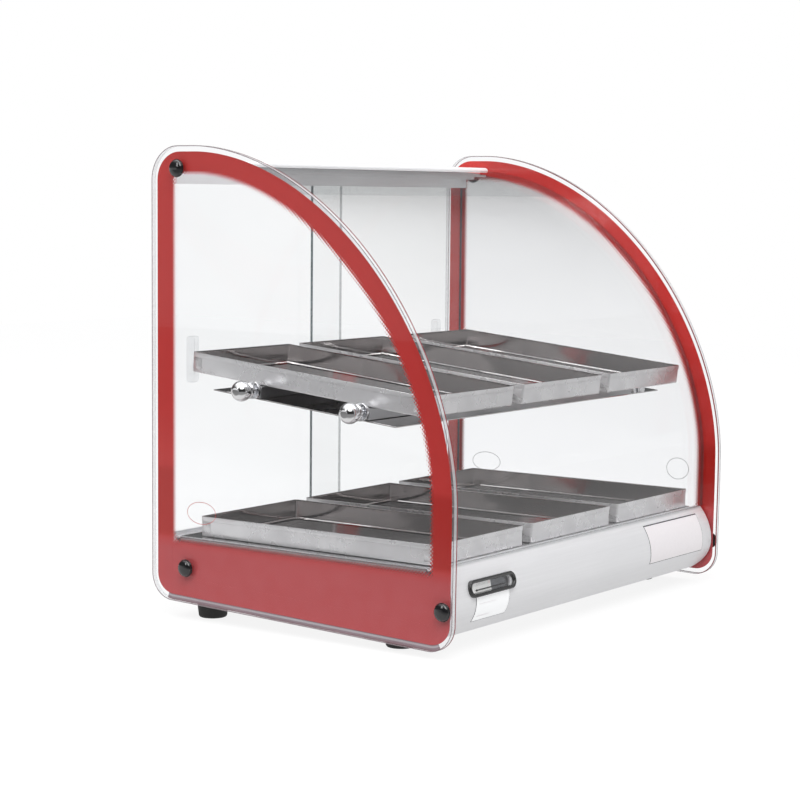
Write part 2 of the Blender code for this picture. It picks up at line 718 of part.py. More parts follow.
def meter_block(name, half_length, half_height, low, high, finish=None):
    """A slot-shaped prism, square to the thermometer's face, between two heights."""
    curve = bpy.data.curves.new(name, "CURVE")
    curve.dimensions = "2D"
    curve.fill_mode = "BOTH"
    curve.extrude = (high - low) / 2
    spline = curve.splines.new("POLY")
    straight = half_length - half_height
    ends = arc((straight, 0), half_height, -90, 90, 8) + arc((-straight, 0), half_height, 90, 270, 8)
    spline.points.add(len(ends) - 1)
    for point, place in zip(spline.points, ends):
        point.co = (*place, 0.0, 1.0)
    spline.use_cyclic_u = True
    matrix = meter_matrix() @ Matrix.Translation((0, 0, (low + high) / 2))
    return curve_as_mesh(name, curve, matrix, finish, smooth=True)


def thermometer():
    """A black bezel set over a slot in the fascia, with a dial, a glass column and a lens."""
    half_length, half_height = METER_SIZE[0] / 2, METER_SIZE[1] / 2
    window = (METER_WINDOW[0] / 2, METER_WINDOW[1] / 2)
    bezel = meter_block("meter_bezel", half_length, half_height, METER_BODY[1], METER_PROUD, BLACK_PLASTIC)
    grown = beside(fascia_path(), -GAP) + [(0.30, FASCIA_FOOT[1]), (0.30, FASCIA_TOP[1])]
    cut(bezel, section("fascia_room", [grown], METER_X - 0.06, METER_X + 0.06))
    sleeve = [half + METER_SLEEVE for half in window]
    join(bezel, meter_block("meter_sleeve", *sleeve, METER_BODY[0], METER_LENS[0]))
    cut(bezel, meter_block("meter_window", *window, METER_DIAL[0] - GAP, 2 * METER_PROUD))
    edge = (window[0] - GAP, window[1] - GAP)
    meter_block("meter_dial", *edge, *METER_DIAL, DIAL_WHITE)
    meter_block("meter_lens", *edge, *METER_LENS, CLEAR_ACRYLIC)
    reach, up, out = METER_COLUMN_END
    ends = [meter_matrix() @ Vector((x, up, out)) for x in (-reach, reach)]
    rod("meter_column", METER_COLUMN, *ends, finish=BLACK_PLASTIC, sides=12)


# ---------------------------------------------------------------- rear controls and cord


def knob():
    """The control knob and its spindle, which turn together about an axis along Y."""
    origin = (KNOB_X, y_at(TUB_REAR) + GAP, KNOB_HEIGHT)
    skirt, top, length = KNOB_RADIUS, KNOB_TOP, KNOB_LENGTH
    profile = [(0.0, length), (top - 0.001, length), (top, length - 0.001), (top + 0.0005, 0.003)]
    bore = SPINDLE + GAP
    profile += [(skirt, 0.002), (skirt, 0.0), (bore, 0.0), (bore, KNOB_BORE), (0.0, KNOB_BORE)]
    made = turned("thermostat_knob", profile, origin, (0, 1, 0), BLACK_PLASTIC, steps=24)
    rib = (0.0015, 0.0125)
    low = (KNOB_X - rib[0], origin[1] + 0.0085, KNOB_HEIGHT)
    high = (KNOB_X + rib[0], origin[1] + length + 0.0009, KNOB_HEIGHT + rib[1])
    join(made, block("knob_pointer", low, high))
    inside = y_at(TUB_REAR + 0.020)
    ends = ((KNOB_X, origin[1] + KNOB_BORE - GAP, KNOB_HEIGHT), (KNOB_X, inside, KNOB_HEIGHT))
    rod("thermostat_spindle", SPINDLE, *ends, finish=BRUSHED_STEEL)
    near, far = THERMOSTAT
    low = (KNOB_X + near[0], y_at(TUB_REAR + near[1]), KNOB_HEIGHT + near[2])
    high = (KNOB_X + far[0], y_at(TUB_REAR + SHEET) - GAP, KNOB_HEIGHT + far[2])
    body = block("thermostat_body", low, high, BRUSHED_STEEL, 0.001)
    ends = ((KNOB_X, y_at(0), KNOB_HEIGHT), (KNOB_X, inside - 0.002, KNOB_HEIGHT))
    cut(body, rod("spindle_bore", SPINDLE + GAP / 3, *ends))


def switch():
    """A flush housing and a rocker that tips about an axis along X."""
    wall = y_at(TUB_REAR)
    flange, inner_depth = SWITCH_FLANGE, SWITCH_DEPTH
    half_x, half_z = SWITCH_SIZE[0] / 2, SWITCH_SIZE[1] / 2
    low = (SWITCH_X - half_x, wall + GAP, KNOB_HEIGHT - half_z)
    high = (SWITCH_X + half_x, wall + GAP + flange, KNOB_HEIGHT + half_z)
    housing = block("switch_housing", low, high, BLACK_PLASTIC, 0.0004)
    body_x, body_z = half_x - 0.0025, half_z - 0.0025
    low = (SWITCH_X - body_x, wall - inner_depth, KNOB_HEIGHT - body_z)
    high = (SWITCH_X + body_x, wall + flange / 2, KNOB_HEIGHT + body_z)
    join(housing, block("switch_body", low, high))
    room = (ROCKER_SIZE[0] / 2 + GAP, ROCKER_SIZE[1] / 2 + 0.0016)
    low = (SWITCH_X - room[0], wall - inner_depth + 0.002, KNOB_HEIGHT - room[1])
    high = (SWITCH_X + room[0], wall + 0.01, KNOB_HEIGHT + room[1])
    cut(housing, block("switch_room", low, high))
    width, height = ROCKER_SIZE
    pivot = -0.004
    reach = height / 2
    outline = [(pivot - 0.003, -0.004), (pivot - 0.003, 0.004), (0.001, reach), (0.0042, reach)]
    outline += [(0.0028, 0.0), (0.0042, -reach), (0.001, -reach)]
    bm = bmesh.new()
    ends = [
        [bm.verts.new((x, out - pivot, up)) for out, up in outline] for x in (-width / 2, width / 2)
    ]
    bm.faces.new(ends[0])
    bm.faces.new(ends[1][::-1])
    for i in range(len(outline)):
        j = (i + 1) % len(outline)
        bm.faces.new((ends[0][i], ends[1][i], ends[1][j], ends[0][j]))
    axis = Matrix.Translation((SWITCH_X, wall + pivot, KNOB_HEIGHT))
    mesh_object("switch_rocker", bm, BLACK_PLASTIC, axis @ Matrix.Rotation(-ROCKER_TILT, 4, "X"))


def pilot_lamp():
    origin = (LAMP_X, y_at(TUB_REAR) + GAP, KNOB_HEIGHT)
    lens, flange, body = LAMP_RADII
    top, foot, rim, end = LAMP_HEIGHTS
    dome = [(lens * math.sin(a), foot + (top - foot) * math.cos(a)) for a in quarter(5)]
    profile = dome + [(flange, rim), (flange, 0.0), (body, 0.0), (body, end), (0.0, end)]
    turned("pilot_lamp", profile, origin, (0, 1, 0), AMBER, steps=16)


def cord_path():
    """From inside the tub down through its bottom, then into a flat coil on the counter."""
    floor = CORD + GAP
    x, y = CORD_OUTLET[0], y_at(CORD_OUTLET[1])
    points = [(x, y, 0.060), (x, y, floor + CORD_TURN)]
    for angle in quarter(5)[1:]:
        back, drop = CORD_TURN * (1 - math.cos(angle)), CORD_TURN * (1 - math.sin(angle))
        points.append((x, y - back, floor + drop))
    outer, inner, last = COIL_RADII
    steps = 42
    for i in range(steps + 1):
        t = i / steps
        tail, climb = max(0.0, 3 * t - 2) ** 2, max(0.0, 6 * t - 5) ** 2
        radius = outer + (inner - outer) * t - (inner - last) * tail
        angle = -2 * math.pi * COIL_TURNS * t
        across, along = radius * math.cos(angle), radius * math.sin(angle)
        points.append((x - outer + across, along, floor + (PLUG_HEIGHT - floor) * climb))
    return points


def power_cord():
    """The cord, its grip in the tub's bottom, and a three-pin plug at its end."""
    path = cord_path()
    tube("power_cord", path, CORD, BLACK_RUBBER)
    x, depth = CORD_OUTLET
    hole, neck = CORD + GAP, CORD_HOLE - GAP
    top = tub_bottom(depth + GRIP_COLLAR) - GAP
    profile = [(hole, GRIP_INSIDE), (neck, GRIP_INSIDE), (neck, 0.0), (GRIP_COLLAR, 0.0)]
    profile += [*GRIP_PROFILE, (hole, GRIP_PROFILE[-1][1])]
    turned("cord_grip", profile, (x, y_at(depth), top), (0, 0, 1), BLACK_PLASTIC, ring=True)
    end, before = Vector(path[-1]), Vector(path[-2])
    along = Vector((end.x - before.x, end.y - before.y, 0.0)).normalized()
    facing = along.to_track_quat("Y", "Z").to_matrix().to_4x4()
    place = Matrix.Translation((end.x, end.y, PLUG_HEIGHT)) @ facing
    half_width, length, half_height = PLUG_SIZE[0] / 2, PLUG_SIZE[1], PLUG_SIZE[2] / 2
    low, high = (-half_width, 2 * GAP, -half_height), (half_width, length, half_height)
    body = block("power_plug", low, high, BLACK_RUBBER, 0.003, place)
    root = length - PLUG_ROOT
    offset, half, (foot, top), reach = PLUG_BLADE
    for side, sign in SIDES.items():
        low = (sign * offset - half, root, foot)
        high = (sign * offset + half, root + reach, top)
        join(body, block(f"plug_blade_{side}", low, high, matrix=place))
    radius, height, reach = PLUG_PIN
    pin = [place @ Vector((0.0, y, height)) for y in (root, root + reach)]
    join(body, rod("plug_pin", radius, *pin, sides=12))


# ---------------------------------------------------------------- heating


def element_path():
    """A serpentine in one level plane, ending in two risers towards the terminal block."""
    half_turn = (ELEMENT_LEGS[1] - ELEMENT_LEGS[0]) / 2
    reach = ELEMENT_REACH - half_turn
    points = [(-reach, ELEMENT_LEGS[0], ELEMENT_HEIGHT)]
    for i, y in enumerate(ELEMENT_LEGS[:-1]):
        side = 1 if i % 2 == 0 else -1
        for step in range(9):
            angle = -math.pi / 2 + math.pi * step / 8
            place = (side * (reach + half_turn * math.cos(angle)), y + half_turn * (1 + math.sin(angle)))
            points.append((*place, ELEMENT_HEIGHT))
    points.append((-reach, ELEMENT_LEGS[-1], ELEMENT_HEIGHT))
    return points


def heating():
    tube("heating_element", element_path(), ELEMENT, BRUSHED_STEEL)
    for side, sign in SIDES.items():
        x = sign * BRACKET_X
        half, margin, seat, rise = BRACKET
        low = (x - half, ELEMENT_LEGS[0] - margin, seat)
        high = (x + half, ELEMENT_LEGS[-1] + margin, ELEMENT_HEIGHT + rise)
        bracket = block(f"element_bracket_{side}", low, high, BRUSHED_STEEL)
        for i, y in enumerate(ELEMENT_LEGS):
            ends = [(x + reach, y, ELEMENT_HEIGHT) for reach in (-margin, margin)]
            cut(bracket, rod(f"{bracket.name}_hole_{i}", ELEMENT + GAP, *ends))
    lower = [(depth, tub_bottom(depth) + SHEET + 2 * GAP) for depth in PAD_DEPTHS]
    upper = [(depth, height + PAD) for depth, height in reversed(lower)]
    section("insulation_pad", [lower + upper], -PAD_HALF, PAD_HALF, WOOL)
    low, high = ((x, y_at(depth), height) for x, depth, height in TERMINALS)
    terminals = block("terminal_block", low, high, DIAL_WHITE, 0.001)
    first, pitch, radius, deep = TERMINAL_HOLES
    for i in range(3):
        place = Vector((low[0] + first + pitch * i, (low[1] + high[1]) / 2, high[2]))
        down = Vector((0, 0, -deep))
        cut(terminals, rod(f"terminal_hole_{i}", radius, place - down, place + down, sides=12))


# ---------------------------------------------------------------- assembly

SIDES = {"left": -1, "right": 1}

clear_scene()
PARTS = new_collection(NAME)
CUTTERS = new_collection("cutters")

CLEAR_GLASS = material("clear glass", (0.93, 0.96, 0.96), 0.02, transmission=1.0)
DOOR_GLASS = material("door glass", (0.85, 0.94, 0.93), 0.02, transmission=1.0)
CLEAR_ACRYLIC = material("clear acrylic", (0.95, 0.96, 0.96), 0.10, transmission=1.0)
MIRROR_STEEL = material("mirror steel", (0.72, 0.72, 0.73), 0.08, metallic=1.0)
POLISHED_STEEL = material("polished steel", (0.68, 0.68, 0.69), 0.18, metallic=1.0)
BRUSHED_STEEL = material("brushed steel", (0.62, 0.62, 0.63), 0.35, metallic=1.0)
SATIN_ALUMINIUM = material("satin aluminium", (0.78, 0.78, 0.80), 0.38, metallic=1.0)
CHROME = material("chrome", (0.85, 0.85, 0.86), 0.04, metallic=1.0)
BLACK_PLASTIC = material("black plastic", (0.02, 0.02, 0.02), 0.25)
BLACK_RUBBER = material("black cord rubber", (0.02, 0.02, 0.02), 0.55)
RUBBER = material("foot rubber", (0.03, 0.03, 0.03), 0.70)
DIAL_WHITE = material("dial white", (0.90, 0.90, 0.88), 0.40)
AMBER = material("amber lens", (0.95, 0.45, 0.08), 0.15)
WOOL = material("insulation wool", (0.80, 0.76, 0.60), 0.95)

front_glass()
top_rail()
lower_track()
base_tub()
deck_plate()
fascia()
pans()
shelf()
thermometer()
knob()
switch()
pilot_lamp()
power_cord()
heating()
for hand, direction in SIDES.items():
    side_glass(hand, direction)
    door(hand, direction)
    for corner_name in CAP_POSITIONS:
        cap_screw(hand, direction, corner_name)
    for row, distance in zip(("rear", "front"), STUD_ALONG):
        shelf_stud(hand, direction, row, distance)
    for row in FOOT_DEPTHS:
        foot(hand, direction, row)
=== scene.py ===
"""Looks of a countertop hot food display case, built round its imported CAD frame.

Metres, +Z up. The customer's side, with the curved glass, faces -Y; +X is to the customer's right.
Section outlines are (depth, height) pairs: depth is counted forward from the side panels' rear edge.
"""

import json
import math

import bmesh
import bpy
from mathutils import Matrix, Vector


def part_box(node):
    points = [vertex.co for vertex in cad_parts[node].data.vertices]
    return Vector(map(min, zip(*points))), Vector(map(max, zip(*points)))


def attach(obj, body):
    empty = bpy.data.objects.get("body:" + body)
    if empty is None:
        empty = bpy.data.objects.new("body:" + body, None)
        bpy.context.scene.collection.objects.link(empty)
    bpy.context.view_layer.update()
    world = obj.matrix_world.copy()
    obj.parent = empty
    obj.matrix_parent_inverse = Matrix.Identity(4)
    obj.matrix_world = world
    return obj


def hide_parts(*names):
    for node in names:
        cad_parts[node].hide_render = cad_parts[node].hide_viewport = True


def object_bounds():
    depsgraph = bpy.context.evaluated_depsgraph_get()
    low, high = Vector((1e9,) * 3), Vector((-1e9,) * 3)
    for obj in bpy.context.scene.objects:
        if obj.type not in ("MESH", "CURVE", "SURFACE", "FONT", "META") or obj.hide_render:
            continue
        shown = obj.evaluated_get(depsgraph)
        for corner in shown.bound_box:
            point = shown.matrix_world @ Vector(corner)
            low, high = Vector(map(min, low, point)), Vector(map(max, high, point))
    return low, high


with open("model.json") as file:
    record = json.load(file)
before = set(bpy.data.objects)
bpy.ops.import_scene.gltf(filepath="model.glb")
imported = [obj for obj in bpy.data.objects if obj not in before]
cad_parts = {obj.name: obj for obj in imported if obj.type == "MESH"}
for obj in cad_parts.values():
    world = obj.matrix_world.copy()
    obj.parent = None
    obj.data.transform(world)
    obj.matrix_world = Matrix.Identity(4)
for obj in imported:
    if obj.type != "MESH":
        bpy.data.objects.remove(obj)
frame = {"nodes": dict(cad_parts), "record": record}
CAD_BOX = [list(corner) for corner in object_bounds()]
RECORD = frame["record"]
BODY_OF = {node: body for body, nodes in RECORD["behaviour"]["bodies"].items() for node in nodes}
SLOT_OF = {part["node"]: part["material_slot"] for part in RECORD["subparts"]}
SIDES = {"left": -1, "right": 1}
GAP = 0.0003

# Side panels, from their box and the corners of their outline
PANEL_LOW, PANEL_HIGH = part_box("side_glass_right")
REAR_Y = PANEL_HIGH.y
DEPTH = PANEL_HIGH.y - PANEL_LOW.y
HEIGHT = PANEL_HIGH.z
OUTER_X, INNER_X = PANEL_HIGH.x, PANEL_LOW.x
TOP_CORNER = 0.036
FRONT_CORNER = 0.028
REAR_CORNER = 0.028
SHOULDER = (0.058, 0.151)
SHOULDER_POWER = 1.83
FRONT_TAPER = (0.121, 0.001)
FRONT_CORNER_HEIGHT = 0.0355
REAR_CORNER_HEIGHT = 0.0470
PANEL_SLOPE = math.radians(1.97)
TUB_SLOPE = math.radians(2.64)
PANEL_HOLE = 0.0035
ARRIS = 0.0010  # chamfer along the polished edges

# Red print laminated into the panels, this far in from their outer faces
PRINT_LAYER = 0.0038
PRINT_CLEAR = 0.0052  # clear border outside it
PRINT_CLEAR_MORE = 0.0012  # added along the top and the bottom
PRINT_SOLID = 0.0250  # from the panel's edge
PRINT_END = 0.0325
PRINT_BASE = (0.0790, 0.0885)  # heights between which the field in front of the base fades
PRINT_SHEET = 0.00008
PRINT_FIELD_MARGIN = 0.016  # between the field in front of the base and the panel's edge
DOT_PITCH = 0.0028
OUTLINE_SPACING = 0.0025  # between points along the sheets that follow the panel's edge
PAINTED_EDGE_REFLECTION = (INNER_X + 0.0014, INNER_X + 0.0020)  # painted dark line, the print's reflection in the panel's front edge
PAINTED_EDGE_REFLECTION_DEPTHS = (0.10, 0.16)  # over which it comes up
MIRROR_STRIP = 0.0005  # start of the lower edge's mirror image, from the edge
MIRROR_SLOPE = 0.45  # steepest part of the edge that it follows
OVAL_LINE = (0.0006, 0.00006)  # width of an etched line and how far it stands up
OVALS = {  # side, centre (depth, height), half width and half height, finish
    "etched_oval_near": ("left", (0.070, 0.117), (0.020, 0.012), "etched_red"),
    "etched_oval_rear": ("right", (0.062, 0.118), (0.021, 0.012), "etched"),
    "etched_oval_front": ("right", (0.335, 0.131), (0.015, 0.013), "etched"),
}

# Front glass
FRONT_GLASS_INSET = 0.0195
FRONT_GLASS = 0.004
FRONT_GLASS_REAR = 0.0515
FRONT_GLASS_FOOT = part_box("front_glass")[0].z

# Rear doors' finger pulls
PULL_RIM = 0.0028
PULL_FLOOR = 0.55  # share of the pull's depth
PULL_CORNER = (0.004, 0.0008)  # radius outside and at the least inside

# Top rail, as depths and heights
RAIL_FINS = (0.008, 0.018, 0.028)
RAIL_FIN = 0.002
RAIL_CHANNEL = 0.008
RAIL_FOOT = 0.463
RAIL_TOP = 0.4875
RAIL_CROWN = 0.488
RAIL_LIP = 0.4765
RAIL_PORT = (0.042, 0.4735)  # front and floor of its screw port
RAIL_NOSE = (0.0625, 0.0600)  # front of its nose and of the lip under the glass
RAIL_NOSE_CURVE = 0.006
RAIL_ROOFS = (0.4840, 0.4835)  # of the front and the rear door channel
RAIL_ROUND = 0.0058

# Base and fascia
BASE_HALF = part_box("fascia")[1].x
FASCIA = 0.002
FASCIA_BACK = 0.3555
FASCIA_LEDGE = (0.0875, 0.3635)
FASCIA_TOP = (0.370, 0.090)
FASCIA_CREST = (0.3856, 0.052)
FASCIA_FOOT = (0.3595, 0.0158)
FASCIA_BULGE = (0.072, 0.030)  # heights of the two curves' control points, level with the crest

# Pans
PAN_HEIGHT = 0.0214
PAN_SHEET = 0.0008
PAN_HEM = (0.0050, 0.0006)
PAN_CORNER = (0.0030, 0.0010)  # radius outside and at the least inside
PAN_BEND = 0.0014
PAN_LAP = (0.011, 0.0004)  # length and thickness of the folds lapped over each corner
SHELF_TILT = math.radians(5.57)

# Fasteners and feet; shanks are given as radius and how far they reach behind the panel's face
CAP_FLANGE = (0.0011, 0.0006)  # height, and how far it stands out round the dome
CAP_SHANK = (0.0021, 0.020)
CAP_SEAT = 0.003
STUD_STANDOFF = 0.010
STUD_FLAT = (0.0048, 0.0045)  # outer radius of the ball's flat face, and the radius that sets its depth
STUD_WAIST = 0.0068
STUD_COLLAR = [(0.0066, 0.0030), (0.0072, 0.0024), (0.0088, 0.0022), (0.0090, 0.0), (0.004, 0.0)]
STUD_SHANK = (0.0021, 0.0315)
SPACER_BORE = 0.0024
SPACER_CROWN = 0.0048
FOOT_BOTTOM = 0.014
FOOT_RECESS = (0.005, 0.010)  # radius and depth

# Thermometer
METER_X = -0.1995
METER_HEIGHT = 0.0655
METER_TILT = math.radians(13)
METER_CREST = 0.3838
METER_SIZE = (0.0835, 0.0180)
METER_WINDOW = (0.0625, 0.0105)
METER_PROUD = 0.0035
METER_CLEARANCE = 0.003  # between the window and the slot in the fascia
METER_CARD = (-0.0040, -0.0034, -0.0032)  # back, edge and face
METER_LENS = [(0.0, 0.0012), (0.0, 0.0022), (0.0006, 0.0026), (0.0020, 0.0028)]
METER_COLUMN = (0.027, 0.0007, 0.0011)  # half its length, radius, radius of its bulb
METER_COLUMN_PLACE = Vector((0.0, -0.0022, -0.0018))

# Blank plates on the fascia: low and high x, low and high z, finish
PLATE_LEFT = -OUTER_X + 0.050
PLATES = {
    "data_plate": (PLATE_LEFT, PLATE_LEFT + 0.0615, 0.031, 0.0575, "label_white"),
    "notice_plate": (OUTER_X - 0.154, OUTER_X - 0.029, 0.041, 0.084, "label_pale"),
}
PLATE_LINE = 0.0007
PLATE_RISES = (0.00002, 0.00016, 0.00030)  # of the outline, the plate and its rules above the fascia
PLATE_RULES = ((0.03025, 0.0488), (0.0220, 0.0360))  # length and height
PLATE_RULE = (0.006, 0.0016)  # margin and thickness
FILM = 0.00012

# Rear controls
KNOB_TOP = 0.0105
KNOB_HEIGHT = 0.0585
KNOB_FLUTES = 18
HEAT_MARKS = 11
HEAT_MARK_START, HEAT_MARK_STEP = 135, 27  # degrees
HEAT_MARK_REACH = 0.0165
HEAT_MARK_LENGTHS = (0.0040, 0.0024)
LAMP = (0.0050, 0.0060, 0.0042)  # radii of its dome, flange and body


# ---------------------------------------------------------------- material graphs


def srgb(red, green, blue):
    """A screen colour of 0 to 255 as linear light."""
    values = [c / 255 for c in (red, green, blue)]
    return tuple(c / 12.92 if c < 0.04045 else ((c + 0.055) / 1.055) ** 2.4 for c in values)


def scaled(colour, share):
    return tuple(c * share for c in colour)


class Graph:
    """A node tree, built with short calls that return output sockets."""

    def __init__(self, name, owner=None):
        self.material = owner or bpy.data.materials.new(name)
        self.material.use_nodes = True
        self.tree = self.material.node_tree
        self.tree.nodes.clear()

    def add(self, kind, output=0, settings=None, **inputs):
        node = self.tree.nodes.new("ShaderNode" + kind)
        for key, value in (settings or {}).items():
            setattr(node, key, value)
        for key, value in inputs.items():
            wanted = key.replace("_", " ").lower()
            socket = next(s for s in node.inputs if s.name.lower() == wanted)
            self.feed(socket, value)
        return node.outputs[output]

    def feed(self, socket, value):
        if isinstance(value, bpy.types.NodeSocket):
            self.tree.links.new(value, socket)
        elif socket.type == "RGBA" and len(value) == 3:
            socket.default_value = (*value, 1.0)
        else:
            socket.default_value = value

    def maths(self, operation, *values):
        node = self.tree.nodes.new("ShaderNodeMath")
        node.operation = operation
        for socket, value in zip(node.inputs, values):
            self.feed(socket, value)
        return node.outputs[0]

    def remap(self, value, low, high, to_low=0.0, to_high=1.0):
        return self.add(
            "MapRange", value=value, from_min=low, from_max=high, to_min=to_low, to_max=to_high
        )

    def mixed(self, factor, first, second):
        node = self.tree.nodes.new("ShaderNodeMix")
        node.data_type = "RGBA"
        for index, value in ((0, factor), (6, first), (7, second)):
            self.feed(node.inputs[index], value)
        return node.outputs[2]

    def blended(self, factor, first, second):
        node = self.tree.nodes.new("ShaderNodeMixShader")
        for socket, value in zip(node.inputs, (factor, first, second)):
            self.feed(socket, value)
        return node.outputs[0]

    def place(self, scale=(1, 1, 1)):
        """The point's place in metres, stretched."""
        return self.add("Mapping", vector=self.add("TexCoord", output=3), scale=scale)

    def noise(self, scale, detail=2.0, stretch=(1, 1, 1)):
        return self.add("TexNoise", vector=self.place(stretch), scale=scale, detail=detail)

    def bump(self, height, distance):
        return self.add("Bump", height=height, distance=distance, strength=1.0)

    def times(self, first, second):
        return self.maths("MULTIPLY", first, second)

    def clear(self, colour):
        return self.add("BsdfTransparent", color=colour)

    def axes(self):
        """The point's three coordinates in metres."""
        return self.add("SeparateXYZ", vector=self.place()).node.outputs

    def fade(self):
        """The fade value that a mesh carries at its points."""
        return self.add("Attribute", output=2, settings={"attribute_name": "fade"})

    def ramp(self, factor, stops):
        """A colour that runs through (position, linear colour) stops."""
        node = self.tree.nodes.new("ShaderNodeValToRGB")
        self.feed(node.inputs[0], factor)
        elements = node.color_ramp.elements
        while len(elements) < len(stops):
            elements.new(0.5)
        for element, (position, colour) in zip(elements, stops):
            element.position = position
            element.color = (*colour, 1.0)
        return node.outputs[0]

    def painted(self, **inputs):
        """Ends the tree in one principled surface."""
        return self.finish(self.add("BsdfPrincipled", **inputs))

    def finish(self, shader, output="OutputMaterial"):
        node = self.tree.nodes.new("ShaderNode" + output)
        self.tree.links.new(shader, node.inputs["Surface"])
        return self.material


def mirror_share(graph, facing_on):
    """How much a clear surface reflects: little face on, all of it at grazing angles."""
    facing = graph.add("LayerWeight", output=1, blend=0.5)
    return graph.add("MapRange", value=graph.maths("POWER", facing, 5.0), to_min=facing_on, to_max=1.0)


def clear_sheet(name, tint, reflection=0.04, haze=0.0):
    """Glass or acrylic seen through its faces, with faint smears that dull it a little."""
    graph = Graph(name)
    smear = graph.noise(9.0, detail=3.0, stretch=(1, 1, 2.5))
    cleaner = tuple(min(1.0, c * 1.012) for c in tint)
    through = graph.clear(graph.mixed(smear, tint, cleaner))
    gloss = graph.add("BsdfGlossy", roughness=graph.remap(smear, 0.4, 0.8, 0.0, 0.04))
    shader = graph.blended(mirror_share(graph, reflection), through, gloss)
    if haze:
        milky = graph.add("BsdfDiffuse", color=(0.9, 0.92, 0.93))
        shader = graph.blended(haze, shader, milky)
    return graph.finish(shader)


def glass_edge(name, colour, solid):
    """A ground or polished edge: light leaves it here, so it shows where the faces don't."""
    graph = Graph(name)
    grain = graph.noise(420.0, detail=1.0)
    through = graph.clear((0.93, 0.94, 0.94))
    body = graph.add(
        "BsdfPrincipled",
        base_color=graph.mixed(graph.remap(grain, 0.35, 0.65), colour, scaled(colour, 0.85)),
        roughness=graph.remap(grain, 0.3, 0.7, 0.10, 0.22),
        coat_weight=0.6,
        coat_roughness=0.05,
    )
    return graph.finish(graph.blended(graph.remap(grain, 0.2, 0.8, solid * 0.92, solid), through, body))


def panel_edge(name):
    """The panel's polished edge, with a painted glow; round the front its inner side has a painted dark line
    for the print's reflection.
    """
    graph = Graph(name)
    grain = graph.noise(420.0, detail=1.0)
    across, along, _ = graph.axes()
    # Painted reflection: the print's dark line along the inner side round the front.
    line = graph.times(
        graph.remap(graph.maths("ABSOLUTE", across), *PAINTED_EDGE_REFLECTION, 1.0, 0.0),
        graph.remap(along, *(REAR_Y - depth for depth in PAINTED_EDGE_REFLECTION_DEPTHS[::-1]), 1.0, 0.0),
    )
    pale = graph.mixed(graph.remap(grain, 0.35, 0.65), srgb(238, 239, 241), srgb(216, 217, 220))
    body = graph.add(
        "BsdfPrincipled",
        base_color=graph.mixed(line, pale, srgb(150, 34, 44)),
        roughness=graph.remap(grain, 0.3, 0.7, 0.10, 0.22),
        coat_weight=0.4,
        # Emission: a painted glow on the pale edge, none on the painted reflection line.
        emission_color=pale,
        emission_strength=graph.times(graph.maths("SUBTRACT", 1.0, line), 0.30),
    )
    through = graph.clear((0.93, 0.94, 0.94))
    haze = graph.remap(grain, 0.2, 0.8, 0.41, 0.45)
    share = graph.maths("MAXIMUM", haze, graph.times(line, 0.88))
    return graph.finish(graph.blended(share, through, body))


def arris(name):
    """Fine polished edges: grey-pink on the outer face, and dark red on the inner face, a painted reflection
    of the print.
    """
    graph = Graph(name)
    fade = graph.fade()
    across = graph.maths("ABSOLUTE", graph.axes()[0])
    grain = graph.noise(300.0, detail=2.0)
    middle = (INNER_X + OUTER_X) / 2
    outer_share = graph.remap(across, middle - GAP, middle + GAP)
    # Inner face's dark red: painted reflection of the print.
    colour = graph.mixed(outer_share, srgb(146, 26, 32), srgb(166, 146, 152))
    colour = graph.mixed(graph.remap(grain, 0.3, 0.7, 0.0, 0.2), colour, srgb(140, 100, 106))
    painted = graph.add("BsdfPrincipled", base_color=colour, roughness=0.2, coat_weight=0.5)
    through = graph.clear((0.9, 0.9, 0.9))
    return graph.finish(graph.blended(graph.remap(fade, 0.0, 1.0, 0.9, 0.0), through, painted))


def edge_mirror(name):
    """The lower edge seen through the panel's face: a painted reflection of the print as long grey-pink
    lines, with a painted glow.
    """
    graph = Graph(name)
    stops = ((0.0, srgb(150, 96, 102)), (0.25, srgb(160, 140, 148)), (0.50, srgb(168, 152, 160)))
    stops += ((0.62, srgb(214, 212, 216)), (0.80, srgb(206, 200, 206)), (1.0, srgb(104, 78, 86)))
    lines = graph.ramp(graph.fade(), stops)
    streak = graph.noise(120.0, detail=2.0, stretch=(1, 0.1, 1))
    colour = graph.mixed(graph.remap(streak, 0.35, 0.7, 0.0, 0.3), lines, srgb(190, 150, 156))
    painted = graph.add("BsdfPrincipled", base_color=colour, roughness=0.3)
    # Painted glow on the painted reflection lines.
    glow = graph.add("Emission", color=colour, strength=0.6)
    body = graph.blended(0.5, painted, glow)
    through = graph.clear((0.95, 0.95, 0.95))
    return graph.finish(graph.blended(0.85, through, body))


